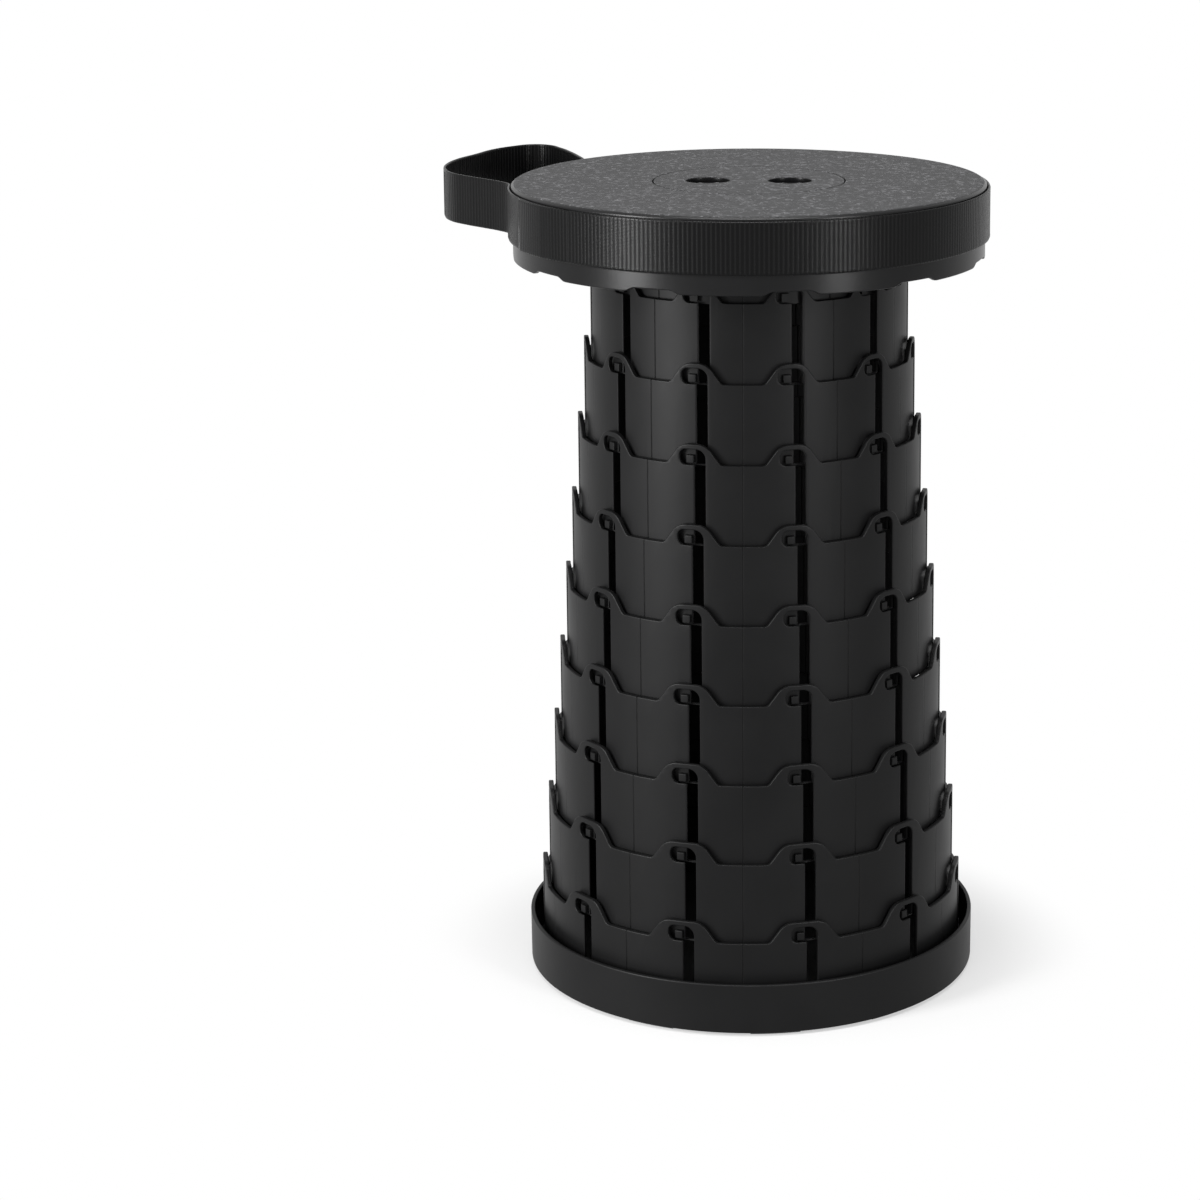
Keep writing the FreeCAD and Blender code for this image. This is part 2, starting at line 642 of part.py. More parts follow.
def make_strap_handle():
    """Carry loop: webbing on edge that leaves the rim, bends round and lies on the band again."""
    inner = number(BAND_INNER)
    foot_radius = number(BAND_OUTER + " + strap_gap")
    near = number("loop_near_angle")
    far = number("loop_far_angle")
    foot_arc = number("loop_foot_arc")
    landing = rim_point(far, foot_radius)
    corners = [
        rim_point(near, inner),
        rim_point(near - number("loop_peel"), number("%s / cos(loop_peel)" % BAND_INNER)),
        rim_point(number("loop_shoulder_angle"), inner + number("loop_shoulder_out")),
        rim_point(number("loop_side_angle"), inner + number("loop_side_out")),
        rim_point(number("loop_tip_angle"), inner + number("loop_tip_out")),
        landing - rim_point(far - 90, number("loop_foot_lead")),
        landing,
    ]
    bend = number("loop_bend_radius")
    radii = [
        number("loop_peel_radius"),
        bend,
        bend,
        number("loop_tip_radius"),
        number("loop_foot_radius"),
    ]
    lying = [rim_point(far - foot_arc * part, foot_radius) for part in (0, 0.5, 1)]
    route = Part.Wire(rounded_route(corners, radii) + [Part.Arc(*lying).toShape()])
    low = rim_point(near, inner)
    out = rim_point(near, number("strap_thickness"))
    up = FreeCAD.Vector(0, 0, number("strap_width"))
    section = Part.makePolygon([low, low + out, low + out + up, low + up, low])
    handle = doc.addObject("Part::Feature", "strap_handle")
    handle.Label = "strap_handle"
    handle.Shape = route.makePipeShell([section], True, True)
    handle.Placement = FreeCAD.Placement(FreeCAD.Vector(0, 0, number(STRAP_FOOT)), FreeCAD.Rotation())
    print("strap_handle route", round(route.Length, 1), "mm")
    return handle


pieces = [make_seat_cover(), make_centre_cap(), make_seat_ring()]
pieces.append(
    make_screws(
        "seat_screws",
        "%s + seat_ring_height - flange_plate - seat_screw_cap" % SEAT_RING_FOOT,
        SEAT_SCREW_RADIUS,
        "seat_screw_head",
        "seat_screw_cap",
        "seat_screw_radius",
        "flange_plate + seat_screw_bite",
        "seat_screw_count",
    )
)
pieces += [make_ring(label, stage) for stage, label in enumerate(RINGS, start=1)]
pieces += [make_base_tray(), make_base_feet()]
pieces.append(
    make_screws(
        "base_screws",
        "foot_height + foot_groove + head_gap",
        BASE_SCREW_RADIUS,
        "base_screw_head",
        "base_screw_cap",
        "base_screw_radius",
        "base_floor - foot_groove - base_screw_cap - head_gap + base_screw_bite",
        "slot_count",
    )
)
pieces.append(
    make_strap_arc(
        "strap_band",
        BAND_INNER,
        "strap_thickness",
        STRAP_FOOT,
        "strap_width",
        "loop_near_angle",
        "360 - loop_near_angle + loop_far_angle + band_end",
    )
)
pieces.append(make_strap_handle())
pieces.append(
    make_strap_arc(
        "strap_fold",
        "(%s + strap_thickness + 2 * strap_gap)" % BAND_OUTER,
        "fold_thickness",
        "%s + fold_trim" % STRAP_FOOT,
        "strap_width - 2 * fold_trim",
        "loop_far_angle - fold_start - fold_arc",
        "fold_arc",
    )
)
pieces.append(
    make_strap_arc(
        "strap_tail",
        "(%s + strap_gap)" % BAND_OUTER,
        "tail_thickness",
        "%s + fold_trim" % STRAP_FOOT,
        "strap_width - 2 * fold_trim",
        "loop_near_angle + tail_start",
        "tail_arc",
    )
)
doc.recompute()

for item in doc.Objects:
    if "Invalid" in item.State or "Error" in item.State:
        raise RuntimeError("%s did not build: %s" % (item.Label, item.State))
for piece in pieces:
    if piece.Shape.isNull() or not piece.Shape.isValid() or not piece.Shape.Solids:
        raise RuntimeError("%s has no valid solid" % piece.Label)

os.makedirs("parts", exist_ok=True)
for piece in pieces:
    piece.Shape.exportStep("parts/%s.step" % piece.Label)
    box = piece.Shape.BoundBox
    print(
        "%-16s %2d solids %9.1f mm3, z %.1f to %.1f"
        % (piece.Label, len(piece.Shape.Solids), piece.Shape.Volume, box.ZMin, box.ZMax)
    )
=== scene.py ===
# %% [markdown]
# # A telescoping stool, dressed in Blender
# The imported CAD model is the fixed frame: it says where every moulding, screw and strap sits. This lesson
# builds the visible pieces again with rounded edges, grain and woven webbing, and lets each one ride on
# the CAD body that carries it.

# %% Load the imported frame
import math

import bmesh
import bpy
from mathutils import Matrix, Vector


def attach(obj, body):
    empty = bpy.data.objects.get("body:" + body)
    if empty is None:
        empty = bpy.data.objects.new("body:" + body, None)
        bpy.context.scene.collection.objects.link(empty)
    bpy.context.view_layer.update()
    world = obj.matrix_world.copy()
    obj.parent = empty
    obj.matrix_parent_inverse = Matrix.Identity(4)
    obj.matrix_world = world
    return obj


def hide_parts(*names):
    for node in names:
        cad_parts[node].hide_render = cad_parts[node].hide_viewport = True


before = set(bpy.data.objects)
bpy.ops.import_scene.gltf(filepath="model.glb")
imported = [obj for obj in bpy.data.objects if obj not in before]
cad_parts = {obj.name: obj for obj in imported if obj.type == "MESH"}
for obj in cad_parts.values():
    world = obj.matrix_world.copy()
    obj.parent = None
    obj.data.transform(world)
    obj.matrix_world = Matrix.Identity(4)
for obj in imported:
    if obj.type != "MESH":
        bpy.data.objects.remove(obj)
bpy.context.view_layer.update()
scene = bpy.context.scene
scene.view_settings.view_transform = "Standard"
MM = 0.001

# %% [markdown]
# ## The camera
# The photograph was taken from a little above the seat, with a long lens. A camera can be placed by eye, but
# here it was worked out from the ellipses of the seat, rings and base, so its height, tilt and lens are
# numbers. The stool stands right of the picture's middle, which is a lens shift and not a turn.

# %% Camera at the photograph's angle
PICTURE = 1200
FOCAL_PIXELS = 3240.1
CENTRE_X = 749.35
CENTRE_Y = 334.5
ORBIT = math.radians(2.1)
TILT = 0.193
ROLL = -0.003
DISTANCE = 1.6604
HEIGHT = 0.6636
SENSOR = 36
lens = bpy.data.cameras.new("photo_lens")
lens.sensor_width = SENSOR
lens.lens = SENSOR * FOCAL_PIXELS / PICTURE
lens.shift_x = (PICTURE / 2 - CENTRE_X) / PICTURE
lens.shift_y = (CENTRE_Y - PICTURE / 2) / PICTURE
camera = bpy.data.objects.new("photo_camera", lens)
tilt = Matrix.Rotation(math.pi / 2 - TILT, 4, "X") @ Matrix.Rotation(ROLL, 4, "Z")
walk = Matrix.Rotation(ORBIT, 4, "Z") @ Matrix.Translation((0, -DISTANCE, HEIGHT))
camera.matrix_world = walk @ tilt
scene.collection.objects.link(camera)
scene.camera = camera
print("lens", round(lens.lens, 1), "mm")

# %% [markdown]
# ## The studio
# A black stool on white shows only what it mirrors: two tall soft boxes draw the upright highlights on the
# rings, and the white room draws the pale rims. The room is white for the camera and for reflections, and
# a plain grey for everything else, so the black stays black.


# %% Wiring helpers
def add_node(tree, kind, inputs=None, **values):
    """Add a node, and set its properties and the values of its inputs."""
    node = tree.nodes.new(kind)
    for name, value in values.items():
        setattr(node, name, value)
    for label, value in (inputs or {}).items():
        node.inputs[label].default_value = value
    return node


def join(tree, *pairs):
    """Link pairs of sockets. A node stands for its first socket."""
    for start, end in pairs:
        start = start if isinstance(start, bpy.types.NodeSocket) else start.outputs[0]
        end = end if isinstance(end, bpy.types.NodeSocket) else end.inputs[0]
        tree.links.new(start, end)


def calc(tree, operation, first, second=None, third=None):
    """A Math node whose inputs are sockets or plain numbers. Returns its output."""
    node = add_node(tree, "ShaderNodeMath", operation=operation)
    for index, value in enumerate((first, second, third)):
        if value is None:
            continue
        if isinstance(value, bpy.types.NodeSocket):
            tree.links.new(value, node.inputs[index])
        else:
            node.inputs[index].default_value = value
    return node.outputs[0]


# %% White room
def seen_directly(tree):
    """One for rays from the camera, a mirror or glass, and zero for the rest."""
    path = add_node(tree, "ShaderNodeLightPath")
    shown = calc(tree, "MAXIMUM", path.outputs["Is Camera Ray"], path.outputs["Is Glossy Ray"])
    return calc(tree, "MAXIMUM", shown, path.outputs["Is Transmission Ray"])


WHITE = (1, 1, 1, 1)
room = bpy.data.worlds.new("white_room")
room.use_nodes = True
room_tree = room.node_tree
room_tree.nodes.clear()
room_light = add_node(room_tree, "ShaderNodeBackground", {"Color": WHITE, "Strength": 0.55})
room_wall = add_node(room_tree, "ShaderNodeBackground", {"Color": WHITE, "Strength": 1.0})
room_mix = add_node(room_tree, "ShaderNodeMixShader")
room_out = add_node(room_tree, "ShaderNodeOutputWorld")
join(
    room_tree,
    (seen_directly(room_tree), room_mix.inputs[0]),
    (room_light, room_mix.inputs[1]),
    (room_wall, room_mix.inputs[2]),
    (room_mix, room_out),
)
scene.world = room
print("world", room.name)

# %% Pale floor that keeps the stool's shadow
floor_paint = bpy.data.materials.new("floor_paint")
floor_paint.use_nodes = True
floor_tree = floor_paint.node_tree
floor_tree.nodes.clear()
floor_matt = add_node(floor_tree, "ShaderNodeBsdfDiffuse", {"Color": (0.38, 0.38, 0.38, 1)})
floor_glow = add_node(floor_tree, "ShaderNodeEmission", {"Strength": 1.0})
floor_mix = add_node(floor_tree, "ShaderNodeMixShader")
floor_out = add_node(floor_tree, "ShaderNodeOutputMaterial")
floor_place = add_node(floor_tree, "ShaderNodeTexCoord")
floor_away = add_node(floor_tree, "ShaderNodeVectorMath", operation="LENGTH")
fade_span = {"From Min": 0.118, "From Max": 0.19, "To Min": 0.5, "To Max": 1.0}
floor_fade = add_node(floor_tree, "ShaderNodeMapRange", fade_span, interpolation_type="SMOOTHSTEP")
floor_shown = seen_directly(floor_tree)
floor_share = calc(floor_tree, "MULTIPLY", floor_shown, floor_fade.outputs[0])
join(
    floor_tree,
    (floor_place.outputs["Object"], floor_away),
    (floor_away.outputs["Value"], floor_fade.inputs["Value"]),
    (floor_share, floor_mix),
    (floor_matt, floor_mix.inputs[1]),
    (floor_glow, floor_mix.inputs[2]),
    (floor_mix, floor_out),
)
floor_mesh = bpy.data.meshes.new("floor")
floor_corners = [(side_x, side_y, -0.0001) for side_x, side_y in ((-8, -8), (8, -8), (8, 8), (-8, 8))]
floor_mesh.from_pydata(floor_corners, [], [(0, 1, 2, 3)])
floor_mesh.materials.append(floor_paint)
floor = bpy.data.objects.new("floor", floor_mesh)
scene.collection.objects.link(floor)
print("floor", tuple(round(side, 1) for side in floor.dimensions))

# %% Soft boxes
LAMP_AIM = 0.22


def soft_box(name, azimuth, distance, height, width, tall, watts):
    """An area lamp that stands at an azimuth from the front and looks at the stool's middle."""
    lamp = bpy.data.lights.new(name, "AREA")
    lamp.shape = "RECTANGLE"
    lamp.size = width
    lamp.size_y = tall
    lamp.energy = watts
    stand = bpy.data.objects.new(name, lamp)
    turn = math.radians(azimuth)
    stand.location = (distance * math.sin(turn), -distance * math.cos(turn), height)
    aim = Vector((0, 0, LAMP_AIM)) - stand.location
    stand.rotation_euler = aim.to_track_quat("-Z", "Y").to_euler()
    scene.collection.objects.link(stand)


soft_box("soft_box_left", -54, 1.9, 0.75, 0.55, 1.5, 110)
soft_box("soft_box_right", 44, 2.1, 0.75, 0.40, 1.5, 48)
soft_box("soft_box_over", 0, 0.30, 2.0, 1.0, 0.9, 52)
print("lamps:", len(bpy.data.lights))

# %% [markdown]
# ## Finishes
# The rings, base and seat are injection moulded in one black plastic: satin, with a faint spark-eroded grain,
# and a thin seam where the mould's slides met. The seat's face has a coarser grain of short worm-like
# strokes, which hides scratches. Grain, seams and strokes are node groups, built once and placed where
# needed.


# %% Start of a node group
def shader_group(name, numbers, outputs):
    """A shader node group with a Vector and named numbers. Returns the tree and its two end nodes."""
    tree = bpy.data.node_groups.new(name, "ShaderNodeTree")
    tree.interface.new_socket("Vector", in_out="INPUT", socket_type="NodeSocketVector")
    for label, value in numbers.items():
        socket = tree.interface.new_socket(label, in_out="INPUT", socket_type="NodeSocketFloat")
        socket.default_value = value
    for label in outputs:
        tree.interface.new_socket(label, in_out="OUTPUT", socket_type="NodeSocketFloat")
    return tree, add_node(tree, "NodeGroupInput"), add_node(tree, "NodeGroupOutput")


# %% Moulded grain
grain, grain_in, grain_out = shader_group("moulded_grain", {"Grain Scale": 1800.0}, ["Height", "Cloud"])
grain_fine = add_node(grain, "ShaderNodeTexNoise", {"Detail": 2})
grain_cloud = add_node(grain, "ShaderNodeTexNoise", {"Scale": 30, "Detail": 3})
join(
    grain,
    (grain_in.outputs["Vector"], grain_fine.inputs["Vector"]),
    (grain_in.outputs["Grain Scale"], grain_fine.inputs["Scale"]),
    (grain_in.outputs["Vector"], grain_cloud.inputs["Vector"]),
    (grain_fine, grain_out.inputs["Height"]),
    (grain_cloud, grain_out.inputs["Cloud"]),
)
print("group", grain.name)

# %% Mould seams: thin upright lines that repeat round the axis
seam, seam_in, seam_out = shader_group("mould_seam", {"Count": 11.0, "Width": 0.0003}, ["Line"])
seam_place = add_node(seam, "ShaderNodeSeparateXYZ")
join(seam, (seam_in.outputs["Vector"], seam_place))
seam_back = calc(seam, "MULTIPLY", seam_place.outputs[1], -1.0)
seam_angle = calc(seam, "ARCTAN2", seam_place.outputs[0], seam_back)
seam_turns = calc(seam, "MULTIPLY", calc(seam, "DIVIDE", seam_angle, math.tau), seam_in.outputs["Count"])
seam_part = calc(seam, "SUBTRACT", seam_turns, calc(seam, "ROUND", seam_turns))
seam_side = calc(seam, "DIVIDE", calc(seam, "MULTIPLY", seam_part, math.tau), seam_in.outputs["Count"])
seam_x = calc(seam, "POWER", seam_place.outputs[0], 2.0)
seam_y = calc(seam, "POWER", seam_place.outputs[1], 2.0)
seam_radius = calc(seam, "SQRT", calc(seam, "ADD", seam_x, seam_y))
seam_gap = calc(seam, "ABSOLUTE", calc(seam, "MULTIPLY", seam_side, seam_radius))
seam_line = calc(seam, "SUBTRACT", 1.0, calc(seam, "DIVIDE", seam_gap, seam_in.outputs["Width"]))
join(seam, (calc(seam, "MAXIMUM", seam_line, 0.0), seam_out.inputs["Line"]))
print("group", seam.name)

# %% Worm grain of the seat's face
worms, worms_in, worms_out = shader_group("worm_grain", {"Stroke Scale": 330.0}, ["Stroke", "Cloud"])
worm_noise = add_node(worms, "ShaderNodeTexNoise", {"Detail": 1.0, "Distortion": 0.6})
worm_gate = add_node(worms, "ShaderNodeTexNoise", {"Detail": 1.0})
gate_scale = calc(worms, "MULTIPLY", worms_in.outputs["Stroke Scale"], 0.8)
worm_cloud = add_node(worms, "ShaderNodeTexNoise", {"Scale": 45, "Detail": 3})
join(
    worms,
    (worms_in.outputs["Vector"], worm_noise.inputs["Vector"]),
    (worms_in.outputs["Stroke Scale"], worm_noise.inputs["Scale"]),
    (worms_in.outputs["Vector"], worm_gate.inputs["Vector"]),
    (gate_scale, worm_gate.inputs["Scale"]),
    (worms_in.outputs["Vector"], worm_cloud.inputs["Vector"]),
    (worm_cloud, worms_out.inputs["Cloud"]),
)
worm_side = calc(worms, "ABSOLUTE", calc(worms, "SUBTRACT", worm_noise.outputs[0], 0.5))
worm_fall = calc(worms, "MULTIPLY", worm_side, 16.0)
worm_ridge = calc(worms, "MAXIMUM", calc(worms, "SUBTRACT", 1.0, worm_fall), 0.0)
worm_open = add_node(worms, "ShaderNodeMapRange", {"From Min": 0.42, "From Max": 0.54})
join(worms, (worm_gate, worm_open.inputs["Value"]))
worm_stroke = calc(worms, "MULTIPLY", worm_ridge, worm_open.outputs[0])
join(worms, (worm_stroke, worms_out.inputs["Stroke"]))
print("group", worms.name)


# %% Start of a material
def new_finish(name, rough, specular):
    """A material with its Principled shader and object coordinates."""
    made = bpy.data.materials.new(name)
    made.use_nodes = True
    tree = made.node_tree
    tree.nodes.clear()
    shine = {"Roughness": rough, "Specular IOR Level": specular}
    shader = add_node(tree, "ShaderNodeBsdfPrincipled", shine)
    out = add_node(tree, "ShaderNodeOutputMaterial")
    place = add_node(tree, "ShaderNodeTexCoord")
    join(tree, (shader, out))
    return made, tree, shader, place.outputs["Object"]


def use_group(tree, group, place, **values):
    """Place a node group in a material and feed it the coordinates and its own values."""
    node = add_node(tree, "ShaderNodeGroup", node_tree=group)
    join(tree, (place, node.inputs["Vector"]))
    for label, value in values.items():
        node.inputs[label.replace("_", " ").title()].default_value = value
    return node


def grey(value):
    """A neutral colour with a touch of blue."""
    return (value, value, value * 1.04, 1)


def greys(tree, factor, low, high):
    """Two greys mixed by a factor that changes over the surface."""
    mix = add_node(tree, "ShaderNodeMix", {6: grey(low), 7: grey(high)}, data_type="RGBA")
    join(tree, (factor, mix))
    return mix.outputs[2]


def span(tree, value, low, high):
    """A value from 0 to 1 stretched to a span."""
    node = add_node(tree, "ShaderNodeMapRange", {"To Min": low, "To Max": high})
    join(tree, (value, node.inputs["Value"]))
    return node.outputs[0]


def bump(tree, height, shader, depth):
    """Raise the surface by a height, through the shader's normal."""
    node = add_node(tree, "ShaderNodeBump", {"Strength": 1.0, "Distance": depth})
    join(tree, (height, node.inputs["Height"]), (node, shader.inputs["Normal"]))


# %% Black plastic of the rings and base
def black_plastic(name, seams, rough):
    """Satin black moulding, with or without mould seams."""
    made, tree, shader, place = new_finish(name, rough, 0.10)
    grains = use_group(tree, grain, place, grain_scale=1600.0)
    height = calc(tree, "MULTIPLY", grains.outputs["Height"], 0.25)
    if seams:
        lines = use_group(tree, seam, place, width=0.00035)
        height = calc(tree, "SUBTRACT", height, calc(tree, "MULTIPLY", lines.outputs["Line"], 6.0))
    bump(tree, height, shader, 0.00006)
    colour = greys(tree, grains.outputs["Cloud"], 0.0018, 0.0030)
    join(tree, (colour, shader.inputs["Base Color"]))
    join(tree, (span(tree, grains.outputs["Cloud"], rough - 0.06, rough + 0.08), shader.inputs["Roughness"]))
    return made


ring_plastic = black_plastic("ring_plastic", True, 0.42)
base_plastic = black_plastic("base_plastic", False, 0.45)
print("finishes", ring_plastic.name, base_plastic.name)

# %% Seat plastic: worm grain and a painted sheen on the face only, satin on the edge and lip
SEAT_TOP = 420.5
seat_plastic, seat_tree, seat_shader, seat_place = new_finish("seat_plastic", 0.42, 0.13)
seat_worms = use_group(seat_tree, worms, seat_place, stroke_scale=270.0)
seat_grains = use_group(seat_tree, grain, seat_place, grain_scale=1600.0)
seat_height = add_node(seat_tree, "ShaderNodeSeparateXYZ")
join(seat_tree, (seat_place, seat_height))
on_face = calc(seat_tree, "GREATER_THAN", seat_height.outputs[2], (SEAT_TOP - 0.3) * MM)
face_stroke = calc(seat_tree, "MULTIPLY", seat_worms.outputs["Stroke"], on_face)
seat_relief = calc(seat_tree, "MULTIPLY_ADD", seat_grains.outputs["Height"], 0.15, face_stroke)
bump(seat_tree, seat_relief, seat_shader, 0.00024)
seat_dark = greys(seat_tree, seat_worms.outputs["Cloud"], 0.0022, 0.0040)
# The face's colour is lifted toward grey. The lighter worm strokes are grain, and the even lift over the
# whole face is a painted sheen for the light that it catches at a grazing view.
stroke_grain_and_painted_sheen = calc(seat_tree, "MULTIPLY_ADD", face_stroke, 0.72, calc(seat_tree, "MULTIPLY", on_face, 0.15))
seat_colour = add_node(seat_tree, "ShaderNodeMix", {7: grey(0.075)}, data_type="RGBA")
join(
    seat_tree,
    (stroke_grain_and_painted_sheen, seat_colour),
    (seat_dark, seat_colour.inputs[6]),
    (seat_colour.outputs[2], seat_shader.inputs["Base Color"]),
    (span(seat_tree, on_face, 0.28, 0.62), seat_shader.inputs["Roughness"]),
)
print("finish", seat_plastic.name)

# %% Webbing, thread, rubber and screw steel
RIB_PITCH = 0.0023
WARP_PITCH = 0.0007
WEFT_PITCH = 0.0015
webbing_black, web_tree, web_shader, web_place = new_finish("webbing_black", 0.30, 0.08)
web_along = add_node(web_tree, "ShaderNodeAttribute", attribute_name="along")
web_across = add_node(web_tree, "ShaderNodeAttribute", attribute_name="across")
web_warp_turn = calc(web_tree, "MULTIPLY", web_across.outputs["Fac"], math.tau / WARP_PITCH)
web_weft_turn = calc(web_tree, "MULTIPLY", web_along.outputs["Fac"], math.tau / WEFT_PITCH)
web_warp = calc(web_tree, "SINE", web_warp_turn)
web_weft = calc(web_tree, "SINE", web_weft_turn)
web_beat = calc(web_tree, "MULTIPLY_ADD", web_weft, 0.5, 0.6)
web_cross = calc(web_tree, "MULTIPLY", web_warp, web_beat)
web_fuzz = use_group(web_tree, grain, web_place, grain_scale=2600.0)
bump(web_tree, calc(web_tree, "ADD", web_cross, web_fuzz.outputs["Height"]), web_shader, 0.000025)
web_shade = span(web_tree, web_fuzz.outputs["Height"], 0.2, 0.9)
web_rib_turn = calc(web_tree, "MULTIPLY", web_along.outputs["Fac"], math.pi / RIB_PITCH)
web_rib = calc(web_tree, "ABSOLUTE", calc(web_tree, "SINE", web_rib_turn))
web_gap = calc(web_tree, "POWER", calc(web_tree, "SUBTRACT", 1.0, web_rib), 2.0)
join(
    web_tree,
    (greys(web_tree, web_shade, 0.0008, 0.0024), web_shader.inputs["Base Color"]),
    (span(web_tree, web_gap, 0.24, 0.75), web_shader.inputs["Roughness"]),
)

thread_black, thread_tree, thread_shader, thread_place = new_finish("thread_black", 0.6, 0.3)
thread_twist = use_group(thread_tree, grain, thread_place, grain_scale=3000.0)
join(
    thread_tree,
    (greys(thread_tree, thread_twist.outputs["Height"], 0.006, 0.022), thread_shader.inputs["Base Color"]),
)

foot_rubber, rubber_tree, rubber_shader, rubber_place = new_finish("foot_rubber", 0.85, 0.3)
rubber_grain = use_group(rubber_tree, grain, rubber_place, grain_scale=900.0)
bump(rubber_tree, rubber_grain.outputs["Height"], rubber_shader, 0.0001)
join(
    rubber_tree,
    (greys(rubber_tree, rubber_grain.outputs["Cloud"], 0.012, 0.024), rubber_shader.inputs["Base Color"]),
)

screw_steel, steel_tree, steel_shader, steel_place = new_finish("screw_steel", 0.32, 0.5)
steel_shader.inputs["Metallic"].default_value = 1.0
steel_grain = use_group(steel_tree, grain, steel_place, grain_scale=1200.0)
join(
    steel_tree,
    (greys(steel_tree, steel_grain.outputs["Cloud"], 0.42, 0.60), steel_shader.inputs["Base Color"]),
    (span(steel_tree, steel_grain.outputs["Height"], 0.25, 0.45), steel_shader.inputs["Roughness"]),
)
print("finishes", len(bpy.data.materials))

# %% [markdown]
# ## Outlines, plates and turned pieces
# Almost every moulding here is either a flat plate that was bent round, or a section that was turned about
# the axis. A two-dimensional curve fills itself, keeps its holes and rounds its own edges, which is the
# quickest way to a plate with soft edges. Outlines are drawn in millimetres and scaled when they become a
# mesh.


# %% Outline helpers
def arc(centre_x, centre_y, radius, start, end, steps):
    """Points along an arc, angles in degrees from +X."""
    angles = [math.radians(start + (end - start) * step / steps) for step in range(steps + 1)]
    return [(centre_x + radius * math.cos(angle), centre_y + radius * math.sin(angle)) for angle in angles]


def rounded(corners, steps=4):
    """A closed outline with its corners rounded. A corner is (x, y, radius)."""
    points = []
    for index, (x, y, radius) in enumerate(corners):
        here = Vector((x, y))
        if radius == 0:
            points.append((x, y))
            continue
        before = (Vector(corners[index - 1][:2]) - here).normalized()
        after = (Vector(corners[(index + 1) % len(corners)][:2]) - here).normalized()
        half = before.angle(after) / 2
        reach = radius / math.tan(half)
        first = here + before * reach
        last = here + after * reach
        centre = here + (before + after).normalized() * (radius / math.sin(half))
        swing = (first - centre).angle_signed(last - centre)
        for step in range(steps + 1):
            spoke = (first - centre).copy()
            spoke.rotate(Matrix.Rotation(-swing * step / steps, 2))
            points.append(tuple(centre + spoke))
    return points


def finished_mesh(holder, name):
    """The holder's mesh with its modifiers applied. The holder is removed."""
    depsgraph = bpy.context.evaluated_depsgraph_get()
    mesh = bpy.data.meshes.new_from_object(
        holder.evaluated_get(depsgraph), preserve_all_data_layers=True, depsgraph=depsgraph
    )
    mesh.name = name
    bpy.data.objects.remove(holder)
    return mesh


def hold(name, data):
    """Put a mesh or curve into the scene as an object at the origin."""
    holder = bpy.data.objects.new(name, data)
    scene.collection.objects.link(holder)
    return holder


def mended(mesh, weld=None):
    """Weld a mesh's points that lie close together, where asked, and turn its faces outwards."""
    work = bmesh.new()
    work.from_mesh(mesh)
    if weld:
        bmesh.ops.remove_doubles(work, verts=work.verts, dist=weld)
    bmesh.ops.recalc_face_normals(work, faces=work.faces)
    work.to_mesh(mesh)
    work.free()
    return mesh


def add_line(curve, points, closed=False):
    """Add a line with straight sides through points (x, y, z) to a curve."""
    spline = curve.splines.new("POLY")
    spline.points.add(len(points) - 1)
    for point, place in zip(spline.points, points):
        point.co = (*place, 1)
    spline.use_cyclic_u = closed


# %% Plates with rounded edges
def plate(name, outlines, thickness, rounding):
    """A flat plate with holes, in millimetres, whose front face lies at height 0."""
    curve = bpy.data.curves.new(name, "CURVE")
    curve.dimensions = "2D"
    curve.fill_mode = "BOTH"
    curve.extrude = thickness / 2 - rounding
    curve.bevel_depth = rounding
    curve.bevel_resolution = 1
    curve.offset = -rounding
    for outline in outlines:
        add_line(curve, [(x, y, 0) for x, y in outline], closed=True)
    mesh = mended(finished_mesh(hold(name, curve), name), 0.002)
    mesh.transform(Matrix.Translation((0, 0, -thickness / 2)))
    return mesh


def rounded_box(low, high, rounding):
    """A closed box between two corners, with rounded edges."""
    work = bmesh.new()
    bmesh.ops.create_cube(work, size=1)
    size = Vector(high) - Vector(low)
    bmesh.ops.scale(work, verts=work.verts, vec=size)
    bmesh.ops.translate(work, verts=work.verts, vec=Vector(low) + size / 2)
    bmesh.ops.bevel(work, geom=work.edges, offset=rounding, segments=2, affect="EDGES", profile=0.5)
    mesh = bpy.data.meshes.new("box")
    work.to_mesh(mesh)
    work.free()
    return mesh


# %% Turned pieces
def turned(name, outline, angles, whole=True, lift=None):
    """Turn a closed outline of (radius, height) about the upright axis. Lift moves a point by angle."""
    mesh = bpy.data.meshes.new(name)
    points = []
    for angle in angles:
        for radius, height in outline:
            z = height if lift is None else lift(angle, radius, height)
            points.append((radius * math.sin(angle), -radius * math.cos(angle), z))
    size = len(outline)
    faces = []
    count = len(angles)
    for column in range(count if whole else count - 1):
        here = column * size
        there = (column + 1) % count * size
        for row in range(size):
            after = (row + 1) % size
            faces.append((here + row, there + row, there + after, here + after))
    if not whole:
        faces.append(tuple(range(size)))
        faces.append(tuple((count - 1) * size + row for row in reversed(range(size))))
    mesh.from_pydata(points, [], faces)
    return mended(mesh, 1e-6)


def circle_angles(count):
    """Angles evenly round a circle."""
    return [math.tau * step / count for step in range(count)]


def joined(name, meshes):
    """Several meshes as one."""
    work = bmesh.new()
    for mesh in meshes:
        work.from_mesh(mesh)
    made = bpy.data.meshes.new(name)
    work.to_mesh(made)
    work.free()
    return made


# %% A finished piece
def piece(name, mesh, body, finish, replaced=()):
    """Put a mesh on a CAD body, in place of the CAD nodes that it stands for."""
    if not mesh.materials:
        mesh.materials.append(finish)
    mesh.shade_smooth()
    made = hold(name, mesh)
    normals = made.modifiers.new("even_normals", "WEIGHTED_NORMAL")
    normals.weight = 100
    normals.keep_sharp = True
    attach(made, body)
    if replaced:
        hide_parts(*replaced)
    print(name, len(mesh.polygons), "faces on", body)


# %% [markdown]
# ## Two Geometry Nodes trees
# A ring is one panel repeated along a line and then bent round the axis, as a strip of belt would be.
# Screws, ribs and foot pads are one shape turned round the axis. Both could be loops in Python, but as
# trees their counts and radii stay open as named inputs until the mesh is taken.


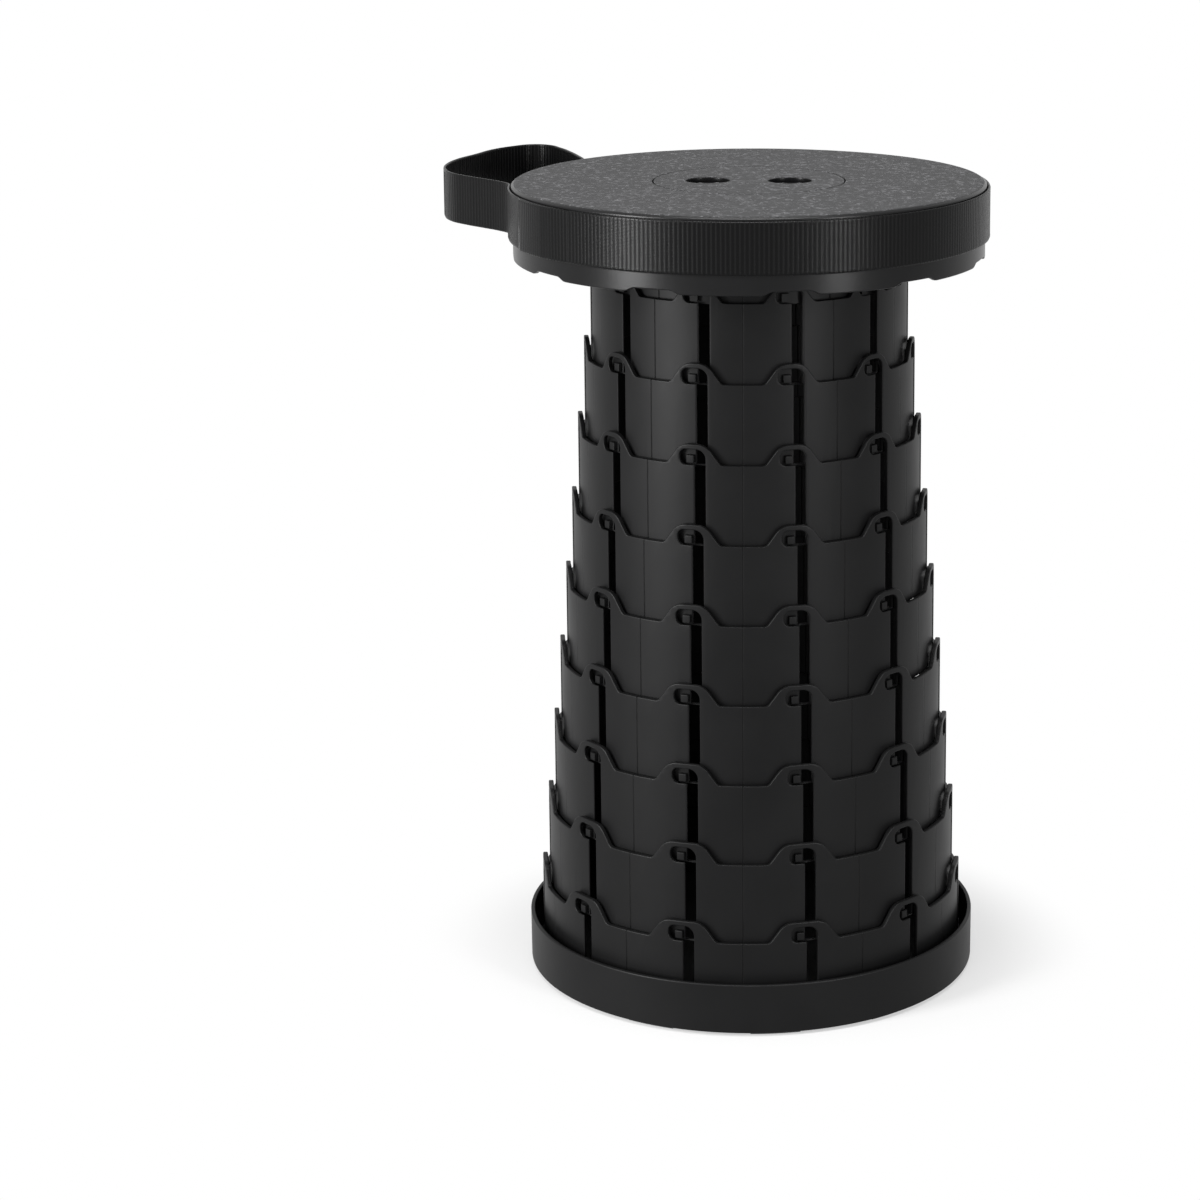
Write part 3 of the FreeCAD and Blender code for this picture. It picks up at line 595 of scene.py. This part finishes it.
# %% Tree helpers
def geometry_tree(name, inputs):
    """A geometry tree with named inputs. Returns the tree, its end nodes and the inputs' identifiers."""
    tree = bpy.data.node_groups.new(name, "GeometryNodeTree")
    tree.interface.new_socket("Geometry", in_out="INPUT", socket_type="NodeSocketGeometry")
    names = {}
    for label, kind in inputs.items():
        socket = tree.interface.new_socket(label, in_out="INPUT", socket_type="NodeSocket" + kind)
        names[label] = socket.identifier
    tree.interface.new_socket("Geometry", in_out="OUTPUT", socket_type="NodeSocketGeometry")
    return tree, add_node(tree, "NodeGroupInput"), add_node(tree, "NodeGroupOutput"), names


def run_tree(name, data, tree, names, values):
    """Run a geometry tree on a mesh or curve and take the plain mesh."""
    holder = hold(name, data)
    modifier = holder.modifiers.new(tree.name, "NODES")
    modifier.node_group = tree
    for label, value in values.items():
        modifier[names[label]] = value
    return finished_mesh(holder, name)


# %% Tree 1: panels bent into a ring
bend, bend_in, bend_out, bend_names = geometry_tree(
    "panels_bent_into_a_ring",
    {"Count": "Int", "Radius": "Float", "Turn": "Float", "Foot": "Float", "Finish": "Material"},
)
bend_line = add_node(bend, "GeometryNodeMeshLine")
bend_step = add_node(bend, "ShaderNodeCombineXYZ")
bend_spread = add_node(bend, "GeometryNodeInstanceOnPoints")
bend_real = add_node(bend, "GeometryNodeRealizeInstances")
bend_place = add_node(bend, "GeometryNodeInputPosition")
bend_split = add_node(bend, "ShaderNodeSeparateXYZ")
bend_round = add_node(bend, "ShaderNodeCombineXYZ")
bend_move = add_node(bend, "GeometryNodeSetPosition")
bend_weld = add_node(bend, "GeometryNodeMergeByDistance", {"Distance": 2e-6})
bend_paint = add_node(bend, "GeometryNodeSetMaterial")
bend_girth = calc(bend, "MULTIPLY", bend_in.outputs["Radius"], math.tau)
join(
    bend,
    (bend_in.outputs["Count"], bend_line.inputs["Count"]),
    (calc(bend, "DIVIDE", bend_girth, bend_in.outputs["Count"]), bend_step.inputs[0]),
    (bend_step, bend_line.inputs["Offset"]),
    (bend_line, bend_spread.inputs["Points"]),
    (bend_in.outputs["Geometry"], bend_spread.inputs["Instance"]),
    (bend_spread, bend_real),
    (bend_real, bend_move),
    (bend_place, bend_split),
)
bend_swing = calc(bend, "DIVIDE", bend_split.outputs[0], bend_in.outputs["Radius"])
bend_angle = calc(bend, "ADD", bend_swing, bend_in.outputs["Turn"])
bend_reach = calc(bend, "ADD", bend_split.outputs[2], bend_in.outputs["Radius"])
bend_back = calc(bend, "MULTIPLY", bend_reach, -1.0)
join(
    bend,
    (calc(bend, "MULTIPLY", bend_reach, calc(bend, "SINE", bend_angle)), bend_round.inputs[0]),
    (calc(bend, "MULTIPLY", bend_back, calc(bend, "COSINE", bend_angle)), bend_round.inputs[1]),
    (calc(bend, "ADD", bend_split.outputs[1], bend_in.outputs["Foot"]), bend_round.inputs[2]),
    (bend_round, bend_move.inputs["Position"]),
    (bend_move, bend_weld),
    (bend_weld, bend_paint),
    (bend_in.outputs["Finish"], bend_paint.inputs["Material"]),
    (bend_paint, bend_out),
)
print("tree", bend.name, len(bend.nodes), "nodes")

# %% Tree 2: one shape repeated round the axis
spin, spin_in, spin_out, spin_names = geometry_tree(
    "shape_repeated_round_the_axis",
    {"Count": "Int", "Turn": "Float", "Finish": "Material"},
)
spin_points = add_node(spin, "GeometryNodePoints")
spin_index = add_node(spin, "GeometryNodeInputIndex")
spin_angle = add_node(spin, "ShaderNodeCombineXYZ")
spin_spread = add_node(spin, "GeometryNodeInstanceOnPoints")
spin_real = add_node(spin, "GeometryNodeRealizeInstances")
spin_paint = add_node(spin, "GeometryNodeSetMaterial")
spin_share = calc(spin, "DIVIDE", math.tau, spin_in.outputs["Count"])
spin_turned = calc(spin, "MULTIPLY_ADD", spin_index.outputs[0], spin_share, spin_in.outputs["Turn"])
join(
    spin,
    (spin_in.outputs["Count"], spin_points.inputs["Count"]),
    (spin_turned, spin_angle.inputs[2]),
    (spin_points, spin_spread.inputs["Points"]),
    (spin_in.outputs["Geometry"], spin_spread.inputs["Instance"]),
    (spin_angle, spin_spread.inputs["Rotation"]),
    (spin_spread, spin_real),
    (spin_real, spin_paint),
    (spin_in.outputs["Finish"], spin_paint.inputs["Material"]),
    (spin_paint, spin_out),
)
print("tree", spin.name, len(spin.nodes), "nodes")

# %% [markdown]
# ## The rings
# Each ring is a thin moulded wall cut into eleven panels. A panel has a low top edge and an arch, an upright
# slot under the arch, and a window beside the slot in which the next ring's peg locks. The wider the ring,
# the wider its arches. One flat panel is drawn, cut into narrow columns so that it can bend, and repeated
# round the ring.

# %% Sizes of the rings, in millimetres
SLOTS = 11
RING_RADIUS = 82.7
RING_STEP = 3.63
WALL = 2.4
PANEL = 41.7
PITCH = 40.5
FLOOR_TOP = 5.0
CROWN = 52.0
ARCH_SHARE = 0.177
DOME = 9.0
FILLET = 3.0
FLANK = 53.0
HOOP = 0.8
EDGE = 0.45
SLOT_LEFT = 0.9
SLOT_RIGHT = 6.6
SLOT_ROUND = 5.0
WINDOW_LEFT = -7.2
WINDOW_ROUND = 3.4
WINDOW_FLOOR = PANEL - 0.3
WINDOW_TOP = PANEL + 7.7
COLUMNS = 18
RINGS = ["ring_%d" % stage for stage in range(1, 10)]


# %% Outlines of one panel
def panel_top(radius):
    """The arch and low edge, from right to left, as far as the arch's feet."""
    bend_angle = math.radians(FLANK)
    drop = CROWN - PANEL - (DOME + FILLET) * (1 - math.cos(bend_angle))
    foot = ARCH_SHARE * radius
    crown_side = foot - (DOME + FILLET) * math.sin(bend_angle) - drop / math.tan(bend_angle)
    right = arc(foot, PANEL + FILLET, FILLET, 270, 270 - FLANK, 7)
    right += arc(crown_side, CROWN - DOME, DOME, 90 - FLANK, 90, 10)
    return right + [(-x, y) for x, y in reversed(right)]


def slot_outline():
    """The upright slot with its lock window to the left."""
    end = WINDOW_LEFT + WINDOW_ROUND
    points = [(SLOT_LEFT, HOOP), (SLOT_RIGHT, HOOP)]
    points += arc(SLOT_RIGHT - SLOT_ROUND, WINDOW_TOP - SLOT_ROUND, SLOT_ROUND, 0, 90, 8)
    points += arc(end, WINDOW_TOP - WINDOW_ROUND, WINDOW_ROUND, 90, 180, 6)
    points += arc(end, WINDOW_FLOOR + WINDOW_ROUND, WINDOW_ROUND, 180, 270, 6)
    return points + [(SLOT_LEFT, WINDOW_FLOOR)]


print("panel top", len(panel_top(RING_RADIUS)), "points; slot", len(slot_outline()), "points")


# %% One flat panel
def cut_guide(mesh):
    """Rebate the inside of the slot's left edge, where the inner ring's peg slides."""
    work = hold("panel", mesh)
    cutter = hold("guide", rounded_box((-4.5, HOOP, -3.0), (1.4, 45.6, -0.95), 0.05))
    cut = work.modifiers.new("guide", "BOOLEAN")
    cut.object = cutter
    cut.solver = "EXACT"
    made = finished_mesh(work, "panel")
    bpy.data.objects.remove(cutter)
    return made


def flat_panel(radius, peg):
    """One panel in millimetres: x along the ring, y up, z out of its face."""
    half = math.pi * radius / SLOTS
    spare = half + 4
    outline = [(-spare, 0), (spare, 0), (spare, PANEL)] + panel_top(radius) + [(-spare, PANEL)]
    mesh = cut_guide(plate("panel", [outline, slot_outline()], WALL, EDGE))
    work = bmesh.new()
    work.from_mesh(mesh)
    for column in range(COLUMNS + 1):
        x = -half + 2 * half * column / COLUMNS
        bmesh.ops.bisect_plane(
            work,
            geom=work.verts[:] + work.edges[:] + work.faces[:],
            dist=1e-5,
            plane_co=(x, 0, 0),
            plane_no=(1, 0, 0),
            clear_outer=column == COLUMNS,
            clear_inner=column == 0,
        )
    if peg:
        reach = RING_STEP - WALL + 1.0
        work.from_mesh(rounded_box((-4.0, 1.4, -0.6), (0.0, 5.6, reach), EDGE))
    work.to_mesh(mesh)
    work.free()
    mesh.transform(Matrix.Scale(MM, 4))
    return mesh


# %% All nine rings
for stage, label in enumerate(RINGS, start=1):
    radius = RING_RADIUS + (stage - 1) * RING_STEP
    lowest = stage == len(RINGS)
    values = {
        "Count": SLOTS,
        "Radius": radius * MM,
        "Turn": math.pi / SLOTS,
        "Foot": (FLOOR_TOP + (len(RINGS) - stage) * PITCH) * MM,
        "Finish": ring_plastic,
    }
    name = label + "_moulding"
    ring_mesh = run_tree(name, flat_panel(radius, not lowest), bend, bend_names, values)
    piece(name, ring_mesh, "base" if lowest else label, ring_plastic, [label])

# %% [markdown]
# ## The base
# The base is a shallow dish with a thin rim, which catches a line of light. It is a turned section. Rubber
# pads sit in a groove under its edge, and small screws hold the lowest ring down from below.

# %% Base tray
tray_outline = rounded(
    [
        (0.0, 1.5, 0),
        (103.5, 1.5, 0.2),
        (103.5, 2.0, 0.2),
        (116.5, 2.0, 0.2),
        (116.5, 1.5, 0.2),
        (118.4, 1.5, 0.8),
        (118.6, 27.4, 0.7),
        (116.4, 27.4, 0.6),
        (116.3, 5.0, 1.2),
        (0.0, 5.0, 0),
    ]
)
tray_mesh = turned("base_tray_dish", [(r * MM, z * MM) for r, z in tray_outline], circle_angles(264))
piece("base_tray_dish", tray_mesh, "base", base_plastic, ["base_tray"])

# %% Foot pads
PAD_ARC = math.radians(12.7)
pad_outline = rounded([(104.5, 0.0, 0.4), (115.5, 0.0, 0.4), (115.5, 2.0, 0.1), (104.5, 2.0, 0.1)], 3)
pad_angles = [PAD_ARC * (step / 10 - 0.5) for step in range(11)]
pad_mesh = turned("foot_pad", [(r * MM, z * MM) for r, z in pad_outline], pad_angles, whole=False)
pad_values = {"Count": SLOTS, "Turn": math.radians(8.2), "Finish": foot_rubber}
piece(
    "foot_pads",
    run_tree("foot_pads", pad_mesh, spin, spin_names, pad_values),
    "base",
    foot_rubber,
    ["base_feet"],
)

# %% Screws with a cross recess, heads down
BASE_SCREW_RADIUS = 112.94
SEAT_SCREWS = 6
SEAT_SCREW_RADIUS = 68.67


def screw(head, cap, shank, length):
    """A pan-head screw in millimetres, head at height 0, shank upwards."""
    arm, wide = head * 0.62, head * 0.15
    cross = [(wide, wide), (arm, wide), (arm, -wide), (wide, -wide), (wide, -arm), (-wide, -arm)]
    cross += [(-x, -y) for x, y in cross]
    rim = arc(0, 0, head, 0, 345, 23)
    face = plate("screw_face", [rim, cross], cap * 0.6, 0.12 * cap)
    face.transform(Matrix.Translation((0, 0, cap * 0.6)))
    threads = int((length - cap) / 0.9)
    body = [(0, cap * 0.5), (head * 0.98, cap * 0.5), (head * 0.98, cap), (shank, cap)]
    for turn in range(threads):
        foot = cap + (length - cap - 0.8) * (turn + 0.5) / threads
        body += [(shank, foot), (shank * 0.82, foot + 0.3)]
    body += [(shank * 0.7, length - 0.6), (0, length)]
    return joined("screw", [face, turned("screw_body", body, circle_angles(20))])


def screw_ring(name, lift, radius, count, one):
    """Screws round the axis, in metres."""
    one.transform(Matrix.Translation((0, -radius, lift)))
    one.transform(Matrix.Scale(MM, 4))
    values = {"Count": count, "Turn": 0.0, "Finish": screw_steel}
    return run_tree(name, one, spin, spin_names, values)


base_screw = screw(2.0, 1.4, 1.0, 10.8)
base_screw_mesh = screw_ring("base_screw_set", 2.2, BASE_SCREW_RADIUS, SLOTS, base_screw)
piece("base_screw_set", base_screw_mesh, "base", screw_steel, ["base_screws"])
seat_screw = screw(3.0, 2.0, 1.5, 10.5)
seat_screw_mesh = screw_ring("seat_screw_set", 406.5, SEAT_SCREW_RADIUS, SEAT_SCREWS, seat_screw)
piece("seat_screw_set", seat_screw_mesh, "seat", screw_steel, ["seat_screws"])

# %% [markdown]
# ## The seat
# The seat is one moulding: a grained plate with a rounded edge, a side wall that the strap lies on, and a
# lip below it whose lower edge is notched eleven times. It is turned from one section, and the notches only
# move the section's lowest points up. Ribs and screw bosses stand under the plate, and a round cap with two
# finger holes fills the middle.

# %% Seat cover
SKIRT_FOOT = 381.5
PLATE_UNDER = 417.5
SKIRT_RADIUS = 121.0
NOTCH_DEPTH = 2.0
NOTCH_MIDDLE = math.pi / SLOTS - math.radians(4.5)
NOTCH_HALF = 9.0 / SKIRT_RADIUS
NOTCH_RAMP = 6.0 / SKIRT_RADIUS
cover_outline = rounded(
    [
        (50.0, SEAT_TOP, 0.6),
        (50.0, PLATE_UNDER, 0),
        (46.4, PLATE_UNDER, 0.2),
        (46.4, 415.0, 0.2),
        (52.5, 415.0, 0.3),
        (52.5, PLATE_UNDER, 0.3),
        (76.07, PLATE_UNDER, 0.3),
        (76.07, 411.5, 0.2),
        (79.07, 411.5, 0.2),
        (79.07, PLATE_UNDER, 0.3),
        (120.6, PLATE_UNDER, 0.5),
        (120.6, 395.1, 0.3),
        (119.9, 395.1, 0.3),
        (119.9, SKIRT_FOOT, 0.4),
        (122.3, SKIRT_FOOT, 0.7),
        (122.3, 391.6, 0.2),
        (123.0, 391.6, 0.3),
        (123.0, 419.3, 0.9),
        (121.2, SEAT_TOP, 1.6),
    ]
)


def notch_lift(angle, radius, height):
    """Raise the skirt's lowest points in the notches."""
    if height > (SKIRT_FOOT + 1.5) * MM or radius < 110 * MM:
        return height
    share = math.tau / SLOTS
    away = abs((angle - NOTCH_MIDDLE + share / 2) % share - share / 2)
    depth = min(max((NOTCH_HALF + NOTCH_RAMP - away) / NOTCH_RAMP, 0), 1)
    return height + NOTCH_DEPTH * MM * depth * depth * (3 - 2 * depth)


cover_mesh = turned(
    "seat_cover_shell", [(r * MM, z * MM) for r, z in cover_outline], circle_angles(528), lift=notch_lift
)
rib_mesh = rounded_box((-1.0, -121.5, 411.5), (1.0, -51.5, 418.5), 0.25)
rib_mesh.transform(Matrix.Scale(MM, 4))
rib_values = {"Count": SLOTS, "Turn": 0.0, "Finish": seat_plastic}
rib_set = run_tree("seat_ribs", rib_mesh, spin, spin_names, rib_values)
boss_outline = rounded([(1.6, 411.5, 0.1), (4.0, 411.5, 0.3), (4.0, 418.5, 0.1), (1.6, 418.5, 0.1)], 2)
boss_mesh = turned("seat_boss", boss_outline, circle_angles(28))
boss_mesh.transform(Matrix.Translation((0, -SEAT_SCREW_RADIUS, 0)))
boss_mesh.transform(Matrix.Scale(MM, 4))
boss_values = {"Count": SEAT_SCREWS, "Turn": 0.0, "Finish": seat_plastic}
boss_set = run_tree("seat_bosses", boss_mesh, spin, spin_names, boss_values)
piece(
    "seat_cover_shell",
    joined("seat_cover_shell", [cover_mesh, rib_set, boss_set]),
    "seat",
    seat_plastic,
    ["seat_cover"],
)

# %% Centre cap with two finger holes
HOLE_SIDE = 21.3
HOLE_RADIUS = 11.4
cap_rim = arc(0, 0, 49.5, 0, 357, 119)
finger_holes = [arc(side * HOLE_SIDE, 0, HOLE_RADIUS, 0, 354, 59) for side in (-1, 1)]
cap_disc = plate("cap_disc", [cap_rim] + finger_holes, 3.0, 0.6)
cap_disc.transform(Matrix.Translation((0, 0, SEAT_TOP)))
sleeve_corners = [(HOLE_RADIUS, 410.5, 0.4), (13.4, 410.5, 0.4), (13.4, 417.6, 0), (HOLE_RADIUS, 417.6, 0)]
sleeve_outline = rounded(sleeve_corners, 3)
sleeves = []
for side in (-1, 1):
    sleeve = turned("sleeve", sleeve_outline, circle_angles(60))
    sleeve.transform(Matrix.Translation((side * HOLE_SIDE, 0, 0)))
    sleeves.append(sleeve)
spigot_outline = [(44.0, 412.9), (46.0, 412.9), (46.9, 413.8), (46.0, 414.7), (46.0, 418.5), (44.0, 418.5)]
spigot = turned("spigot", spigot_outline, circle_angles(120))
cap_mesh = joined("seat_cap_disc", [cap_disc, spigot] + sleeves)
cap_mesh.transform(Matrix.Scale(MM, 4))
piece("seat_cap_disc", cap_mesh, "seat", seat_plastic, ["seat_centre_cap"])

# %% [markdown]
# ## The seat ring
# The innermost ring stays out of sight under the seat. Its CAD shape is right as it is, so it keeps its
# node and only gets the plastic.

# %% Seat ring
seat_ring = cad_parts["seat_ring"]
seat_ring.data.materials.clear()
seat_ring.data.materials.append(ring_plastic)
print("seat_ring keeps its CAD mesh")

# %% [markdown]
# ## The strap
# The strap is one length of ribbed webbing. It lies round the seat's side, leaves it on the left as a carry
# loop, and comes back on top of itself in a folded, sewn end. Webbing stands on edge along its path, so a
# tree sweeps a section along a curve and swells it into cross ribs, leaving both selvedges flat.

# %% Tree 3: ribbed webbing along a curve
web, web_in, web_out, web_names = geometry_tree(
    "ribbed_webbing",
    {
        "Section": "Object",
        "Half Width": "Float",
        "Rib Pitch": "Float",
        "Rib Height": "Float",
        "Selvedge": "Float",
        "Finish": "Material",
    },
)
web_even = add_node(web, "GeometryNodeResampleCurve", mode="LENGTH")
web_length = add_node(web, "GeometryNodeSplineParameter")
web_mark = add_node(web, "GeometryNodeCaptureAttribute")
web_mark.capture_items.new("FLOAT", "Along")
web_upright = add_node(web, "GeometryNodeSetCurveNormal", mode="Z_UP")
web_section = add_node(web, "GeometryNodeObjectInfo")
web_sweep = add_node(web, "GeometryNodeCurveToMesh", {"Fill Caps": True})
web_spot = add_node(web, "GeometryNodeInputPosition")
web_spot_split = add_node(web, "ShaderNodeSeparateXYZ")
web_facing = add_node(web, "GeometryNodeInputNormal")
web_push = add_node(web, "ShaderNodeVectorMath", operation="SCALE")
web_swell = add_node(web, "GeometryNodeSetPosition")
web_keep_along = add_node(web, "GeometryNodeStoreNamedAttribute", {"Name": "along"})
web_keep_across = add_node(web, "GeometryNodeStoreNamedAttribute", {"Name": "across"})
web_paint = add_node(web, "GeometryNodeSetMaterial")
join(
    web,
    (web_in.outputs["Geometry"], web_even),
    (calc(web, "DIVIDE", web_in.outputs["Rib Pitch"], 6.0), web_even.inputs["Length"]),
    (web_even, web_mark),
    (web_length.outputs["Length"], web_mark.inputs[1]),
    (web_mark, web_upright),
    (web_in.outputs["Section"], web_section.inputs["Object"]),
    (web_upright, web_sweep),
    (web_section.outputs["Geometry"], web_sweep.inputs["Profile Curve"]),
    (web_spot, web_spot_split),
)

# %% Tree 3: swelling of the ribs, and marks for the weave
web_turns = calc(web, "DIVIDE", web_mark.outputs[1], web_in.outputs["Rib Pitch"])
web_swing = calc(web, "ABSOLUTE", calc(web, "SINE", calc(web, "MULTIPLY", web_turns, math.pi)))
web_groove = calc(web, "POWER", calc(web, "SUBTRACT", 1.0, web_swing), 3.0)
web_wave = calc(web, "SUBTRACT", 1.0, web_groove)
web_off = calc(web, "ABSOLUTE", web_spot_split.outputs[2])
web_inset = calc(web, "SUBTRACT", web_in.outputs["Half Width"], web_off)
web_ribbed = calc(web, "GREATER_THAN", web_inset, web_in.outputs["Selvedge"])
web_rise = calc(web, "MULTIPLY", calc(web, "MULTIPLY", web_wave, web_in.outputs["Rib Height"]), web_ribbed)
join(
    web,
    (web_facing, web_push),
    (web_rise, web_push.inputs["Scale"]),
    (web_sweep, web_swell),
    (web_push, web_swell.inputs["Offset"]),
    (web_swell, web_keep_along),
    (web_mark.outputs[1], web_keep_along.inputs["Value"]),
    (web_keep_along, web_keep_across),
    (web_spot_split.outputs[2], web_keep_across.inputs["Value"]),
    (web_keep_across, web_paint),
    (web_in.outputs["Finish"], web_paint.inputs["Material"]),
    (web_paint, web_out),
)
print("tree", web.name, len(web.nodes), "nodes")

# %% Section of the webbing, on edge
WEB_WIDTH = 26.2
WEB_THICK = 1.3
SELVEDGE = 1.6
STRAP_MIDDLE = 405.3
BAND_RADIUS = 124.15
LOOP_FOOT_RADIUS = 126.1


def web_section_curve():
    """A thin rounded section: x through the thickness, y across the width."""
    half, side = WEB_WIDTH / 2, WEB_THICK / 2
    steps = [half - 0.7, half - SELVEDGE, half - SELVEDGE - 0.3]
    rows = steps + [half - SELVEDGE - 0.3 - 3.5 * step for step in range(1, 6)]
    rows = sorted(set(rows + [-row for row in rows if row > 0.5]), reverse=True)
    right = [(side, row) for row in rows]
    left = [(-side, row) for row in reversed(rows)]
    foot = [(side * 0.6, -half), (-side * 0.6, -half)]
    points = right + foot + left + [(-x, -y) for x, y in foot]
    curve = bpy.data.curves.new("web_section", "CURVE")
    curve.dimensions = "3D"
    add_line(curve, [(x * MM, y * MM, 0) for x, y in points], closed=True)
    return hold("web_section", curve)


section_holder = web_section_curve()
print("web section", len(section_holder.data.splines[0].points), "points")


# %% Webbing along a path
def rim_point(azimuth, radius):
    """A point round the seat, azimuth in degrees from +X, in millimetres."""
    turn = math.radians(azimuth)
    return (radius * math.cos(turn), radius * math.sin(turn))


def rim_arc(start, end, radius, steps):
    """Points round the seat at one radius."""
    return [rim_point(start + (end - start) * step / steps, radius) for step in range(steps + 1)]


def path_curve(name, points, smooth):
    """A level path. A smooth one is a Bezier line through its points."""
    curve = bpy.data.curves.new(name, "CURVE")
    curve.dimensions = "3D"
    places = [(x * MM, y * MM, 0) for x, y in points]
    if not smooth:
        add_line(curve, places)
        return curve
    spline = curve.splines.new("BEZIER")
    spline.bezier_points.add(len(places) - 1)
    spline.resolution_u = 24
    for knot, place in zip(spline.bezier_points, places):
        knot.co = place
        knot.handle_left_type = "AUTO"
        knot.handle_right_type = "AUTO"
    return curve


def webbing(name, points, smooth=False, rib_height=0.13):
    """Ribbed webbing on edge along a path of points in millimetres."""
    values = {
        "Section": section_holder,
        "Half Width": WEB_WIDTH / 2 * MM,
        "Rib Pitch": RIB_PITCH,
        "Rib Height": rib_height * MM,
        "Selvedge": SELVEDGE * MM,
        "Finish": webbing_black,
    }
    mesh = run_tree(name, path_curve(name, points, smooth), web, web_names, values)
    mesh.transform(Matrix.Translation((0, 0, STRAP_MIDDLE * MM)))
    return mended(mesh)


# %% Band round the seat
band_mesh = webbing("strap_band_webbing", rim_arc(182.0, 496.0, BAND_RADIUS, 400))
piece("strap_band_webbing", band_mesh, "seat", webbing_black, ["strap_band"])

# %% [markdown]
# ## The carry loop
# The loop is drawn as one smooth line through points seen in the photograph. It leaves the band on the left,
# swings out and back, and lands on the seat's side again in a flat foot. A Bezier line keeps the slack look
# of webbing that has been pulled into a loop.

# %% Carry loop
loop_path = [
    rim_point(182.0, BAND_RADIUS),
    (-125.0, 0.6),
    (-130.6, 8.4),
    (-139.7, 17.6),
    (-149.6, 27.3),
    (-159.5, 39.5),
    (-165.3, 56.8),
    (-166.1, 74.2),
    (-162.4, 93.4),
    (-155.5, 110.6),
    (-147.7, 130.9),
    (-138.1, 144.3),
    (-127.9, 152.1),
    (-118.8, 149.9),
    (-110.9, 138.2),
    (-102.2, 118.5),
    (-95.3, 98.7),
    (-92.6, 91.4),
    (-89.8, 89.5),
    rim_point(133.0, LOOP_FOOT_RADIUS),
    rim_point(128.0, LOOP_FOOT_RADIUS),
    rim_point(122.6, LOOP_FOOT_RADIUS),
]
loop_mesh = webbing("strap_loop_webbing", loop_path, True)
piece("strap_loop_webbing", loop_mesh, "seat", webbing_black, ["strap_handle"])

# %% [markdown]
# ## Sewn ends
# Webbing that ends has to be hemmed, or it frays. The loop's far end is turned back on itself and sewn
# down, and the band's own end lies flat over the band on the left. Rows of short stitches hold the fold. A
# stitch is one small rounded bar, placed along a line by a tree.

# %% Folded end and overlap
fold_path = rim_arc(132.2, 123.6, 128.0, 24)
fold_path += [rim_point(123.0, 128.9), rim_point(123.0, 129.7)]
fold_path += rim_arc(123.6, 131.2, 130.6, 22)
fold_mesh = webbing("strap_fold_webbing", fold_path)
piece("strap_fold_webbing", fold_mesh, "seat", webbing_black, ["strap_fold"])
tail_path = [rim_point(203.1, 124.1)] + rim_arc(206.0, 217.0, 125.6, 32)
tail_path += [rim_point(220.5, 125.2), rim_point(224.0, 124.6), rim_point(227.0, 124.0)]
tail_mesh = webbing("strap_tail_webbing", tail_path, rib_height=0.0)
piece("strap_tail_webbing", tail_mesh, "seat", webbing_black, ["strap_tail"])

# %% Tree 4: stitches along a line
sew, sew_in, sew_out, sew_names = geometry_tree(
    "stitches_along_a_line",
    {"Stitch": "Object", "Spacing": "Float", "Finish": "Material"},
)
sew_points = add_node(sew, "GeometryNodeCurveToPoints", mode="LENGTH")
sew_stitch = add_node(sew, "GeometryNodeObjectInfo")
sew_spread = add_node(sew, "GeometryNodeInstanceOnPoints")
sew_real = add_node(sew, "GeometryNodeRealizeInstances")
sew_paint = add_node(sew, "GeometryNodeSetMaterial")
join(
    sew,
    (sew_in.outputs["Geometry"], sew_points),
    (sew_in.outputs["Spacing"], sew_points.inputs["Length"]),
    (sew_in.outputs["Stitch"], sew_stitch.inputs["Object"]),
    (sew_points.outputs["Points"], sew_spread.inputs["Points"]),
    (sew_stitch.outputs["Geometry"], sew_spread.inputs["Instance"]),
    (sew_points.outputs["Rotation"], sew_spread.inputs["Rotation"]),
    (sew_spread, sew_real),
    (sew_real, sew_paint),
    (sew_in.outputs["Finish"], sew_paint.inputs["Material"]),
    (sew_paint, sew_out),
)
print("tree", sew.name, len(sew.nodes), "nodes")

# %% Stitch rows on the folded end
STITCH_STEPS = 16
stitch_mesh = rounded_box((-0.3, -0.3, -1.0), (0.3, 0.3, 1.0), 0.18)
stitch_mesh.transform(Matrix.Scale(MM, 4))
stitch_holder = hold("stitch", stitch_mesh)


def stitch_box(name, start, end, radius):
    """A sewn box with a cross, on a patch of the strap's outer face."""
    low, high = STRAP_MIDDLE - 9.5, STRAP_MIDDLE + 9.5
    runs = [
        ((start, low), (end, low)),
        ((end, low), (end, high)),
        ((end, high), (start, high)),
        ((start, high), (start, low)),
        ((start, low), (end, high)),
        ((start, high), (end, low)),
    ]
    curve = bpy.data.curves.new(name, "CURVE")
    curve.dimensions = "3D"
    for (from_azimuth, from_height), (to_azimuth, to_height) in runs:
        line = []
        for step in range(STITCH_STEPS + 1):
            part = step / STITCH_STEPS
            x, y = rim_point(from_azimuth + (to_azimuth - from_azimuth) * part, radius)
            height = from_height + (to_height - from_height) * part
            line.append((x * MM, y * MM, height * MM))
        add_line(curve, line)
    values = {"Stitch": stitch_holder, "Spacing": 2.8 * MM, "Finish": thread_black}
    return run_tree(name, curve, sew, sew_names, values)


stitch_set = stitch_box("strap_stitches", 124.6, 130.2, 131.6)
piece("strap_stitches", stitch_set, "seat", thread_black)

# %% Put the helpers away
for helper in (section_holder, stitch_holder):
    bpy.data.objects.remove(helper)
